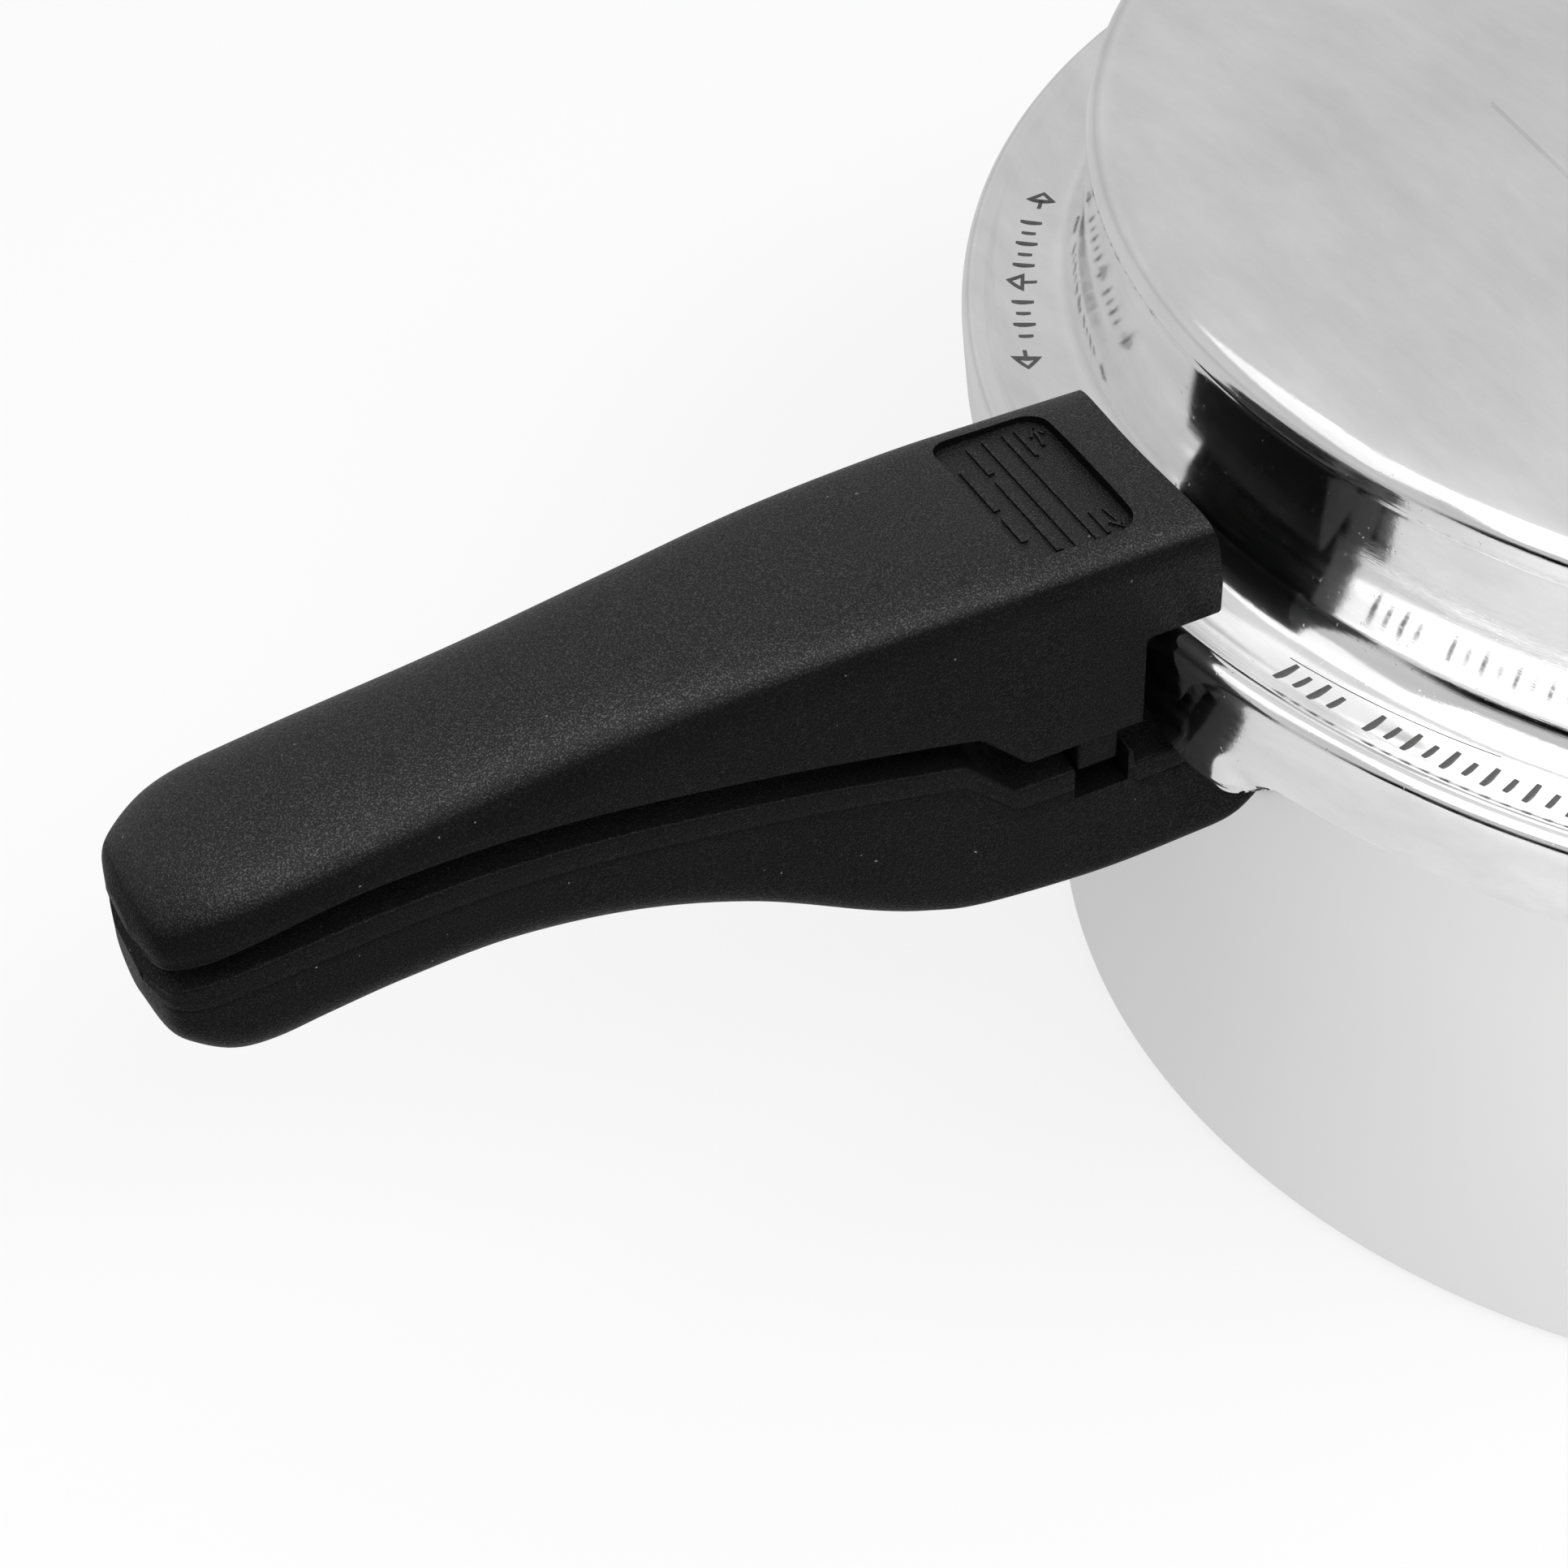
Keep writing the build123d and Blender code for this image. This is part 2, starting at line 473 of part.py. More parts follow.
with BuildPart() as lid_cover:
    with BuildSketch(Plane.XZ):
        with BuildLine():
            ThreePointArc((0, CROWN_Z), (60, CROWN_Z - 2.5), (104.5, SHOULDER_Z))
            ThreePointArc(
                (104.5, SHOULDER_Z), (109.4, 137.6), (DOME_R + 0.3, DOME_CREASE_Z)
            )
            Line((DOME_R + 0.3, DOME_CREASE_Z), (DOME_R, DOME_CREASE_Z - 0.4))
            Line((DOME_R, DOME_CREASE_Z - 0.4), (DOME_R, WALL_FOOT_Z))
            ThreePointArc((DOME_R, WALL_FOOT_Z), (DOME_R + 1.6, 110.2), (116.0, 108.3))
            ThreePointArc((116.0, 108.3), (DISH_R, DISH_Z), (123.6, 108.9))
            ThreePointArc((123.6, 108.9), (126.6, RIDGE_Z), (FLANGE_R, 107.6))
            Line((FLANGE_R, 107.6), (SKIRT_R, SKIRT_BOTTOM_Z))
            Line((SKIRT_R, SKIRT_BOTTOM_Z), (SKIRT_INNER_R, SKIRT_BOTTOM_Z))
            Line((SKIRT_INNER_R, SKIRT_BOTTOM_Z), (SKIRT_INNER_R, GROOVE_TOP_Z))
            Line((SKIRT_INNER_R, GROOVE_TOP_Z), (INNER_DOME_R + 3, GROOVE_TOP_Z))
            ThreePointArc(
                (INNER_DOME_R + 3, GROOVE_TOP_Z), (109.1, 106.0), (INNER_DOME_R, 108.1)
            )
            Line((INNER_DOME_R, 108.1), (INNER_DOME_R, 132.0))
            ThreePointArc((INNER_DOME_R, 132.0), (107.0, 134.6), (104.0, 136.0))
            ThreePointArc((104.0, 136.0), (60, CROWN_Z - LID_T - 2.5), (0, CROWN_Z - LID_T))
            Line((0, CROWN_Z - LID_T), (0, CROWN_Z))
        make_face()
    revolve(axis=Axis.Z)
    # Inward lugs, which sit under the pan's lugs while the lid is closed.
    with BuildSketch(Plane.XY.offset(SKIRT_BOTTOM_Z)):
        for lug in range(LUG_COUNT):
            add(
                ring_sector(
                    LID_LUG_IN_R, SKIRT_INNER_R + 0.5, lug * 360 / LUG_COUNT, LID_LUG_HALF_DEG
                )
            )
    extrude(amount=LID_LUG_T)
    # Two deeper pieces of skirt beside the handle.
    tab_middle = (SKIRT_TAB_START_DEG + SKIRT_TAB_END_DEG) / 2
    tab_half = (SKIRT_TAB_END_DEG - SKIRT_TAB_START_DEG) / 2
    for side, tab_z in ((1, SKIRT_TAB_NEAR_Z), (-1, SKIRT_TAB_FAR_Z)):
        with BuildSketch(Plane.XY.offset(tab_z)):
            add(ring_sector(SKIRT_INNER_R, FLANGE_R - 0.1, 180 + side * tab_middle, tab_half))
        extrude(amount=RIDGE_Z - 4 - tab_z)
        tab_bottom = part_edges_at(lid_cover, tab_z)
        fillet(tab_bottom.filter_by(GeomType.LINE), SKIRT_TAB_CORNER_R)
    # Cast tongue that the upper handle is screwed to.
    with BuildSketch(Plane.XY.offset(TONGUE_LOW_Z)):
        with Locations(((TONGUE_END_X - SKIRT_INNER_R) / 2, 0)):
            Rectangle(-TONGUE_END_X - SKIRT_INNER_R, 2 * TONGUE_HALF_W)
    extrude(amount=TONGUE_TOP_Z - TONGUE_LOW_Z)
    with BuildSketch(Plane.XY.offset(TONGUE_LOW_Z)):
        with Locations((LID_SCREW_X, 0)):
            Circle(SCREW_HOLE_R)
    extrude(amount=TONGUE_TOP_Z - TONGUE_LOW_Z, mode=Mode.SUBTRACT)
    # Flat boss for the safety plug.
    with BuildSketch(Plane.XY.offset(PLUG_BOSS_LOW_Z)):
        with PolarLocations(PLUG_RADIUS, 1, start_angle=PLUG_AZ):
            Circle(PLUG_BOSS_R)
    extrude(amount=PLUG_BOSS_TOP_Z - PLUG_BOSS_LOW_Z)
    # Holes for the vent pipe and the safety plug.
    with BuildSketch(Plane.XY.offset(PIPE_LOW_Z)):
        Circle(PIPE_R + 0.1)
        with PolarLocations(PLUG_RADIUS, 1, start_angle=PLUG_AZ):
            Circle(PLUG_R + 0.1)
    extrude(amount=LID_DRILL_DEPTH, mode=Mode.SUBTRACT)
export(lid_cover, "lid_cover")

# ---- Sealing gasket in the lid's groove, with a lip towards the steam ----
GASKET_IN_R = 112.8
GASKET_OUT_R = SKIRT_INNER_R - 0.3
GASKET_LOW_Z = RIM_TOP_Z + 0.3
GASKET_TOP_Z = GROOVE_TOP_Z - SEAT_GAP
LIP_GAP = 0.8
LIP_DEPTH = 5.0

with BuildPart() as sealing_gasket:
    lip_low = (GASKET_LOW_Z + GASKET_TOP_Z - LIP_GAP) / 2
    lip_high = lip_low + LIP_GAP
    with BuildSketch(Plane.XZ):
        with BuildLine():
            Polyline(
                (GASKET_IN_R, GASKET_LOW_Z),
                (GASKET_OUT_R, GASKET_LOW_Z),
                (GASKET_OUT_R, GASKET_TOP_Z),
                (GASKET_IN_R, GASKET_TOP_Z),
                (GASKET_IN_R, lip_high),
                (GASKET_IN_R + LIP_DEPTH, lip_high),
                (GASKET_IN_R + LIP_DEPTH, lip_low),
                (GASKET_IN_R, lip_low),
                close=True,
            )
        make_face()
    revolve(axis=Axis.Z)
export(sealing_gasket, "sealing_gasket")

# ---- Upper handle fasteners: threaded insert, washer and screw from below ----
UPPER_WASHER_Z = TONGUE_LOW_Z - WASHER_T - SEAT_GAP
UPPER_HEAD_TOP_Z = UPPER_WASHER_Z - SEAT_GAP

with BuildPart() as upper_handle_insert:
    with BuildSketch(Plane.XY.offset(INSERT_LOW_Z)):
        with Locations((LID_SCREW_X, 0)):
            Circle(INSERT_R)
            Circle(SCREW_R + SEAT_GAP, mode=Mode.SUBTRACT)
    extrude(amount=INSERT_T)
export(upper_handle_insert, "upper_handle_insert")

with BuildPart() as upper_handle_screw:
    with BuildSketch(Plane.XY.offset(UPPER_HEAD_TOP_Z - HEAD_T)):
        with Locations((LID_SCREW_X, 0)):
            Circle(HEAD_R)
    extrude(amount=HEAD_T)
    with BuildSketch(Plane.XY.offset(UPPER_HEAD_TOP_Z)):
        with Locations((LID_SCREW_X, 0)):
            Circle(SCREW_R)
    extrude(amount=INSERT_LOW_Z + INSERT_T - 1 - UPPER_HEAD_TOP_Z)
    with BuildSketch(Plane.XY.offset(UPPER_HEAD_TOP_Z - HEAD_T)):
        with Locations((LID_SCREW_X, 0)):
            SlotOverall(2 * HEAD_R - DRIVE_SLOT_DEPTH, DRIVE_SLOT_W)
            SlotOverall(2 * HEAD_R - DRIVE_SLOT_DEPTH, DRIVE_SLOT_W, rotation=90)
    extrude(amount=DRIVE_SLOT_DEPTH, mode=Mode.SUBTRACT)
export(upper_handle_screw, "upper_handle_screw")

with BuildPart() as upper_handle_washer:
    with BuildSketch(Plane.XY.offset(UPPER_WASHER_Z)):
        with Locations((LID_SCREW_X, 0)):
            Circle(WASHER_R)
            Circle(SCREW_R + 0.2, mode=Mode.SUBTRACT)
    extrude(amount=WASHER_T)
export(upper_handle_washer, "upper_handle_washer")

# ---- Vent pipe: threaded nipple with a hexagonal collar and a tapered nozzle ----
PIPE_GASKET_T = PIPE_COLLAR_Z - CROWN_Z - 2 * SEAT_GAP
PIPE_NUT_TOP_Z = CROWN_Z - LID_T - 0.2
PIPE_NUT_T = 4.0

with BuildPart() as vent_pipe:
    with BuildSketch(Plane.XY.offset(PIPE_LOW_Z)):
        Circle(PIPE_R)
    extrude(amount=PIPE_COLLAR_Z - PIPE_LOW_Z)
    with BuildSketch(Plane.XY.offset(PIPE_COLLAR_Z)):
        RegularPolygon(hex_radius(PIPE_COLLAR_AF), 6)
    extrude(amount=PIPE_COLLAR_T)
    with BuildSketch(Plane.XY.offset(PIPE_COLLAR_Z + PIPE_COLLAR_T)):
        Circle(PIPE_NOZZLE_R)
    extrude(amount=PIPE_TOP_Z - PIPE_COLLAR_Z - PIPE_COLLAR_T, taper=2)
    with BuildSketch(Plane.XY.offset(PIPE_LOW_Z)):
        Circle(PIPE_BORE_R)
    extrude(amount=PIPE_TOP_Z - PIPE_LOW_Z, mode=Mode.SUBTRACT)
export(vent_pipe, "vent_pipe")

with BuildPart() as vent_pipe_gasket:
    with BuildSketch(Plane.XY.offset(CROWN_Z + SEAT_GAP)):
        Circle(PIPE_COLLAR_AF / 2)
        Circle(PIPE_R + 0.1, mode=Mode.SUBTRACT)
    extrude(amount=PIPE_GASKET_T)
export(vent_pipe_gasket, "vent_pipe_gasket")

with BuildPart() as vent_pipe_nut:
    with BuildSketch(Plane.XY.offset(PIPE_NUT_TOP_Z - PIPE_NUT_T)):
        RegularPolygon(hex_radius(PIPE_COLLAR_AF), 6)
        Circle(PIPE_R + SEAT_GAP, mode=Mode.SUBTRACT)
    extrude(amount=PIPE_NUT_T)
export(vent_pipe_nut, "vent_pipe_nut")

# ---- Safety plug: hexagonal body with a fusible core, a seal and a nut inside ----
PLUG_SEAL_T = 0.9
PLUG_HEX_Z = PLUG_BOSS_TOP_Z + PLUG_SEAL_T + 2 * SEAT_GAP
PLUG_HEX_T = 5.0
PLUG_LOW_Z = 133.0
PLUG_NUT_T = 4.5
PLUG_CORE_R = 2.4
PLUG_NUT_AF = 17.0

with BuildPart() as safety_plug_body:
    with BuildSketch(Plane.XY.offset(PLUG_LOW_Z)):
        with PolarLocations(PLUG_RADIUS, 1, start_angle=PLUG_AZ):
            Circle(PLUG_R)
    extrude(amount=PLUG_HEX_Z - PLUG_LOW_Z)
    with BuildSketch(Plane.XY.offset(PLUG_HEX_Z)):
        with PolarLocations(PLUG_RADIUS, 1, start_angle=PLUG_AZ):
            RegularPolygon(hex_radius(PLUG_HEX_AF), 6)
    extrude(amount=PLUG_HEX_T)
    with BuildSketch(Plane.XY.offset(PLUG_HEX_Z + PLUG_HEX_T)):
        with PolarLocations(PLUG_RADIUS, 1, start_angle=PLUG_AZ):
            Circle(PLUG_R)
    extrude(amount=2.5, taper=15)
    with BuildSketch(Plane.XY.offset(PLUG_LOW_Z)):
        with PolarLocations(PLUG_RADIUS, 1, start_angle=PLUG_AZ):
            Circle(PLUG_CORE_R + 0.02)
    extrude(amount=PLUG_HEX_Z + PLUG_HEX_T + 3 - PLUG_LOW_Z, mode=Mode.SUBTRACT)
export(safety_plug_body, "safety_plug_body")

with BuildPart() as safety_plug_core:
    with BuildSketch(Plane.XY.offset(PLUG_LOW_Z + 0.5)):
        with PolarLocations(PLUG_RADIUS, 1, start_angle=PLUG_AZ):
            Circle(PLUG_CORE_R)
    extrude(amount=PLUG_HEX_Z + PLUG_HEX_T + 1.5 - PLUG_LOW_Z)
export(safety_plug_core, "safety_plug_core")

with BuildPart() as safety_plug_seal:
    with BuildSketch(Plane.XY.offset(PLUG_BOSS_TOP_Z + SEAT_GAP)):
        with PolarLocations(PLUG_RADIUS, 1, start_angle=PLUG_AZ):
            Circle(PLUG_HEX_AF / 2 + 0.6)
            Circle(PLUG_R + 0.1, mode=Mode.SUBTRACT)
    extrude(amount=PLUG_SEAL_T)
export(safety_plug_seal, "safety_plug_seal")

with BuildPart() as safety_plug_nut:
    with BuildSketch(Plane.XY.offset(PLUG_BOSS_LOW_Z - SEAT_GAP - PLUG_NUT_T)):
        with PolarLocations(PLUG_RADIUS, 1, start_angle=PLUG_AZ):
            RegularPolygon(hex_radius(PLUG_NUT_AF), 6)
            Circle(PLUG_R + SEAT_GAP, mode=Mode.SUBTRACT)
    extrude(amount=PLUG_NUT_T)
export(safety_plug_nut, "safety_plug_nut")

# ---- Pressure regulator: a weight that turns on its seat bush, with a needle and a knob ----
BUSH_R = 7.0
BUSH_LOW_Z = 154.5
BUSH_ROOF_Z = 170.0
BUSH_TOP_Z = 177.0
BUSH_BORE_R = 4.5
NEEDLE_R = 2.0
RUNNING = 0.06
WEIGHT_R = 15.0
WEIGHT_LOW_Z = 153.0
WEIGHT_TOP_Z = 187.0
NECK_R = 8.5
KNOB_R = 12.0
KNOB_TOP_Z = 199.0
KNOB_SCREW_R = 1.5
KNOB_WELL_R = 3.2
KNOB_WELL_DEPTH = 5.0
KNOB_SCREW_HEAD_R = 2.9
KNOB_SCREW_HEAD_T = 2.2

with BuildPart() as regulator_bush:
    with BuildSketch(Plane.XZ):
        with BuildLine():
            Polyline(
                (BUSH_BORE_R, BUSH_LOW_Z),
                (BUSH_R, BUSH_LOW_Z),
                (BUSH_R, BUSH_TOP_Z),
                (NEEDLE_R + 0.02, BUSH_TOP_Z),
                (NEEDLE_R + 0.02, BUSH_ROOF_Z),
                (BUSH_BORE_R, BUSH_ROOF_Z),
                close=True,
            )
        make_face()
    revolve(axis=Axis.Z)
export(regulator_bush, "regulator_bush")

with BuildPart() as regulator_needle:
    with BuildSketch(Plane.XZ):
        with BuildLine():
            Polyline(
                (0, PIPE_TOP_Z - 2.5),
                (0.5, PIPE_TOP_Z - 2.5),
                (PIPE_BORE_R - 0.12, PIPE_TOP_Z),
                (NEEDLE_R, BUSH_ROOF_Z),
                (NEEDLE_R, BUSH_TOP_Z - 0.5),
                (0, BUSH_TOP_Z - 0.5),
                close=True,
            )
        make_face()
    revolve(axis=Axis.Z)
export(regulator_needle, "regulator_needle")

with BuildPart() as regulator_weight:
    with BuildSketch(Plane.XZ):
        with BuildLine():
            Polyline(
                (BUSH_R + RUNNING, WEIGHT_LOW_Z),
                (WEIGHT_R - 1, WEIGHT_LOW_Z),
                (WEIGHT_R, WEIGHT_LOW_Z + 1),
                (WEIGHT_R, WEIGHT_TOP_Z - 10),
                (NECK_R + 2, WEIGHT_TOP_Z - 4),
                (NECK_R, WEIGHT_TOP_Z - 4),
                (NECK_R, WEIGHT_TOP_Z),
                (KNOB_SCREW_R + SEAT_GAP, WEIGHT_TOP_Z),
                (KNOB_SCREW_R + SEAT_GAP, BUSH_TOP_Z + 0.3),
                (BUSH_R + RUNNING, BUSH_TOP_Z + 0.3),
                close=True,
            )
        make_face()
    revolve(axis=Axis.Z)
export(regulator_weight, "regulator_weight")

with BuildPart() as regulator_knob:
    with BuildSketch(Plane.XZ):
        with BuildLine():
            Polyline(
                (KNOB_SCREW_R + 0.2, WEIGHT_TOP_Z + SEAT_GAP),
                (NECK_R, WEIGHT_TOP_Z + SEAT_GAP),
                (KNOB_R, WEIGHT_TOP_Z + 4),
                (KNOB_R, KNOB_TOP_Z - 3),
                (KNOB_R - 3, KNOB_TOP_Z),
                (KNOB_WELL_R, KNOB_TOP_Z),
                (KNOB_WELL_R, KNOB_TOP_Z - KNOB_WELL_DEPTH),
                (KNOB_SCREW_R + 0.2, KNOB_TOP_Z - KNOB_WELL_DEPTH),
                close=True,
            )
        make_face()
    revolve(axis=Axis.Z)
export(regulator_knob, "regulator_knob")

KNOB_SCREW_LOW_Z = BUSH_TOP_Z + 1
KNOB_SCREW_SEAT_Z = KNOB_TOP_Z - KNOB_WELL_DEPTH + SEAT_GAP

with BuildPart() as regulator_screw:
    with BuildSketch(Plane.XY.offset(KNOB_SCREW_LOW_Z)):
        Circle(KNOB_SCREW_R)
    extrude(amount=KNOB_SCREW_SEAT_Z - KNOB_SCREW_LOW_Z)
    with BuildSketch(Plane.XY.offset(KNOB_SCREW_SEAT_Z)):
        Circle(KNOB_SCREW_HEAD_R)
    extrude(amount=KNOB_SCREW_HEAD_T)
    with BuildSketch(Plane.XY.offset(KNOB_SCREW_SEAT_Z + KNOB_SCREW_HEAD_T - 1)):
        SlotOverall(4.4, 0.9)
    extrude(amount=1, mode=Mode.SUBTRACT)
export(regulator_screw, "regulator_screw")
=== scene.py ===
import math

import bmesh
import bpy
import numpy as np
from mathutils import Matrix, Vector


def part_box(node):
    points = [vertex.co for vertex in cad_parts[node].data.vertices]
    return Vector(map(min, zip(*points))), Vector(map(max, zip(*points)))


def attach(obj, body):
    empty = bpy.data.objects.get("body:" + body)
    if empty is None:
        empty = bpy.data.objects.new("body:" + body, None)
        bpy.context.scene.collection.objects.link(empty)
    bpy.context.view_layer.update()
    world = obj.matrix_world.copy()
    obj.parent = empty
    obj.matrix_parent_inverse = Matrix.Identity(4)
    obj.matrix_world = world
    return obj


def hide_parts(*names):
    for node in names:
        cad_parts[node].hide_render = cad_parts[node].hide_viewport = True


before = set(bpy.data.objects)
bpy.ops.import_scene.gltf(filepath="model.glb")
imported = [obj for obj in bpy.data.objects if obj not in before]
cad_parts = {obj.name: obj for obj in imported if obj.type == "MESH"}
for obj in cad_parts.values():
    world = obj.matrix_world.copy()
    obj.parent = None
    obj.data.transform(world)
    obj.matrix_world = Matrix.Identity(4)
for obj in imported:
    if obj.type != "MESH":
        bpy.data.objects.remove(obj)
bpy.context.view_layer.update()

# Stovetop pressure cooker. Lengths are in millimetres and become metres as each mesh is made.
# The origin is the centre of the pan's underside, and the handles point along -X.
MM = 0.001


def node_box(node):
    """A CAD node's lowest and highest corners in millimetres."""
    low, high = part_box(node)
    return low / MM, high / MM


LID_LOW, LID_HIGH = node_box("lid_cover")
_, PAN_HIGH = node_box("pan_body")
UPPER_LOW, UPPER_HIGH = node_box("upper_handle")
WEIGHT_LOW, WEIGHT_HIGH = node_box("regulator_weight")
KNOB_LOW, KNOB_HIGH = node_box("regulator_knob")
PLUG_LOW, PLUG_HIGH = node_box("safety_plug_body")

# ---------------------------------------------------------------- mesh helpers

MERGE_DIST_M = 2e-6
DEGENERATE_DIST_M = 1e-6
ARC_SHARE = 0.48  # the most of a side that one rounded corner may take
MITRE_LIMIT = 0.35  # keeps a stroke's sharp corners from growing long points


def mm_mesh(name, verts, faces):
    """A cleaned mesh in metres from millimetre vertices."""
    mesh = bpy.data.meshes.new(name)
    mesh.from_pydata([[c * MM for c in v] for v in verts], [], faces)
    tidy_mesh(mesh)
    return mesh


def mesh_piece(name, verts, faces, body, material, replaces=(), sharp_deg=35):
    """A mesh object from millimetre vertices, riding on a body."""
    finish_piece(name, mm_mesh(name, verts, faces), body, material, replaces, sharp_deg)


def finish_piece(name, mesh, body, material, replaces=(), sharp_deg=35):
    mesh.shade_smooth()
    mesh.set_sharp_from_angle(angle=math.radians(sharp_deg))
    piece = bpy.data.objects.new(name, mesh)
    bpy.context.scene.collection.objects.link(piece)
    piece.data.materials.append(material)
    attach(piece, body)
    if replaces:
        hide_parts(*replaces)


def tidy_mesh(mesh):
    """Merges doubles and turns every face outwards."""
    work = bmesh.new()
    work.from_mesh(mesh)
    bmesh.ops.remove_doubles(work, verts=work.verts, dist=MERGE_DIST_M)
    bmesh.ops.dissolve_degenerate(work, edges=work.edges, dist=DEGENERATE_DIST_M)
    bmesh.ops.recalc_face_normals(work, faces=work.faces)
    work.to_mesh(mesh)
    work.free()


def rounded_path(corners, steps=5, closed=True):
    """Points of a path through (a, b, radius) corners, each rounded by an arc."""
    path = []
    count = len(corners)
    for i, (a, b, radius) in enumerate(corners):
        corner = Vector((a, b))
        if radius <= 0 or (not closed and i in (0, count - 1)):
            path.append((a, b))
            continue
        back = Vector(corners[i - 1][:2]) - corner
        ahead = Vector(corners[(i + 1) % count][:2]) - corner
        angle = back.angle(ahead)
        reach = min(radius / math.tan(angle / 2), ARC_SHARE * min(back.length, ahead.length))
        middle = corner + (back.normalized() + ahead.normalized()).normalized() * (
            reach / math.cos(angle / 2)
        )
        start = corner + back.normalized() * reach - middle
        end = corner + ahead.normalized() * reach - middle
        turn = start.angle(end)
        for k in range(steps + 1):
            near = math.sin(turn * (1 - k / steps)) / math.sin(turn)
            far = math.sin(turn * k / steps) / math.sin(turn)
            point = middle + start * near + end * far
            path.append((point.x, point.y))
    return path


def smooth_points(points, per_span=6):
    """A Catmull-Rom curve through points, which may have any number of values each."""
    p = np.array(points, float)
    p = np.vstack([2 * p[0] - p[1], p, 2 * p[-1] - p[-2]])
    out = []
    for i in range(1, len(p) - 2):
        for t in np.arange(per_span) / per_span:
            out.append(
                0.5
                * (
                    2 * p[i]
                    + (p[i + 1] - p[i - 1]) * t
                    + (2 * p[i - 1] - 5 * p[i] + 4 * p[i + 1] - p[i + 2]) * t * t
                    + (3 * p[i] - p[i - 1] - 3 * p[i + 1] + p[i + 2]) * t**3
                )
            )
    out.append(p[-2])
    return [tuple(float(c) for c in q) for q in out]


def ring_faces(count, n, closed=False):
    """Quads between count rings of n points: joined into a hoop, or capped at both ends."""
    faces = []
    for i in range(count if closed else count - 1):
        j = (i + 1) % count
        for k in range(n):
            m = (k + 1) % n
            faces.append((i * n + k, j * n + k, j * n + m, i * n + m))
    if not closed:
        faces += [tuple(range(n)), tuple((count - 1) * n + k for k in range(n))]
    return faces


def lathe(path, azimuths, centre=(0, 0), shape=None):
    """Turns a closed (radius, z) path round a vertical axis.

    azimuths are in degrees over a full turn; shape(radius, z, azimuth) may move each point.
    """
    verts = []
    for azimuth in azimuths:
        a = math.radians(azimuth)
        for radius, z in path:
            r, h = shape(radius, z, azimuth) if shape else (radius, z)
            verts.append((centre[0] + r * math.cos(a), centre[1] + r * math.sin(a), h))
    return verts, ring_faces(len(azimuths), len(path), True)


def full_turn(count):
    """Evenly spaced azimuths in degrees."""
    return [360 * i / count for i in range(count)]


def ring_block(corners, middle_deg, half_deg, count):
    """A closed block of a turned section over part of a turn, with flat ends."""
    path = rounded_path(corners, 3)
    verts = []
    for i in range(count + 1):
        a = math.radians(middle_deg - half_deg + 2 * half_deg * i / count)
        verts += [(r * math.cos(a), r * math.sin(a), z) for r, z in path]
    return verts, ring_faces(count + 1, len(path))


def rounded_prism(outline, low, high, edge=0.0, steps=3):
    """A prism along Z over an XY outline, its top and bottom edges rounded by edge."""
    rings = []
    centre = np.mean(np.array(outline, float), axis=0)
    reach = np.abs(np.array(outline, float) - centre).max()
    levels = []
    for k in range(steps + 1):
        t = math.pi / 2 * k / steps
        levels.append((edge * (1 - math.sin(t)), low + edge * (1 - math.cos(t))))
    for k in range(steps + 1):
        t = math.pi / 2 * (1 - k / steps)
        levels.append((edge * (1 - math.sin(t)), high - edge * (1 - math.cos(t))))
    if edge == 0:
        levels = [(0, low), (0, high)]
    for inset, z in levels:
        scale = 1 - inset / reach
        rings.append([(*(centre + (np.array(p) - centre) * scale), z) for p in outline])
    return [v for ring in rings for v in ring], ring_faces(len(rings), len(outline))


def join_parts(*parts):
    """Several (verts, faces) as one."""
    verts, faces = [], []
    for v, f in parts:
        base = len(verts)
        verts += list(v)
        faces += [tuple(i + base for i in face) for face in f]
    return verts, faces


def box_outline(low_x, high_x, low_y, high_y, radius, steps=5):
    """A rectangle with rounded corners."""
    corners = [
        (low_x, low_y, radius),
        (high_x, low_y, radius),
        (high_x, high_y, radius),
        (low_x, high_y, radius),
    ]
    return rounded_path(corners, steps)


def raw_object(name, verts, faces):
    """A bare object for cutting, removed again by carve()."""
    item = bpy.data.objects.new(name, mm_mesh(name, verts, faces))
    bpy.context.scene.collection.objects.link(item)
    return item


def carve(verts, faces, cutters):
    """The mesh left after cutting every cutter from a solid."""
    blank = raw_object("blank", verts, faces)
    tools = [raw_object("cutter", *cutter) for cutter in cutters]
    for tool in tools:
        cut = blank.modifiers.new("cut", "BOOLEAN")
        cut.operation = "DIFFERENCE"
        cut.solver = "EXACT"
        cut.object = tool
    depsgraph = bpy.context.evaluated_depsgraph_get()
    mesh = bpy.data.meshes.new_from_object(blank.evaluated_get(depsgraph))
    tidy_mesh(mesh)
    for item in (blank, *tools):
        bpy.data.objects.remove(item)
    return mesh


# ---------------------------------------------------------------- materials


def set_range(node, *limits):
    """Fills a Map Range node: from low, from high, to low, to high."""
    for key, value in zip(("From Min", "From Max", "To Min", "To Max"), limits):
        node.inputs[key].default_value = value


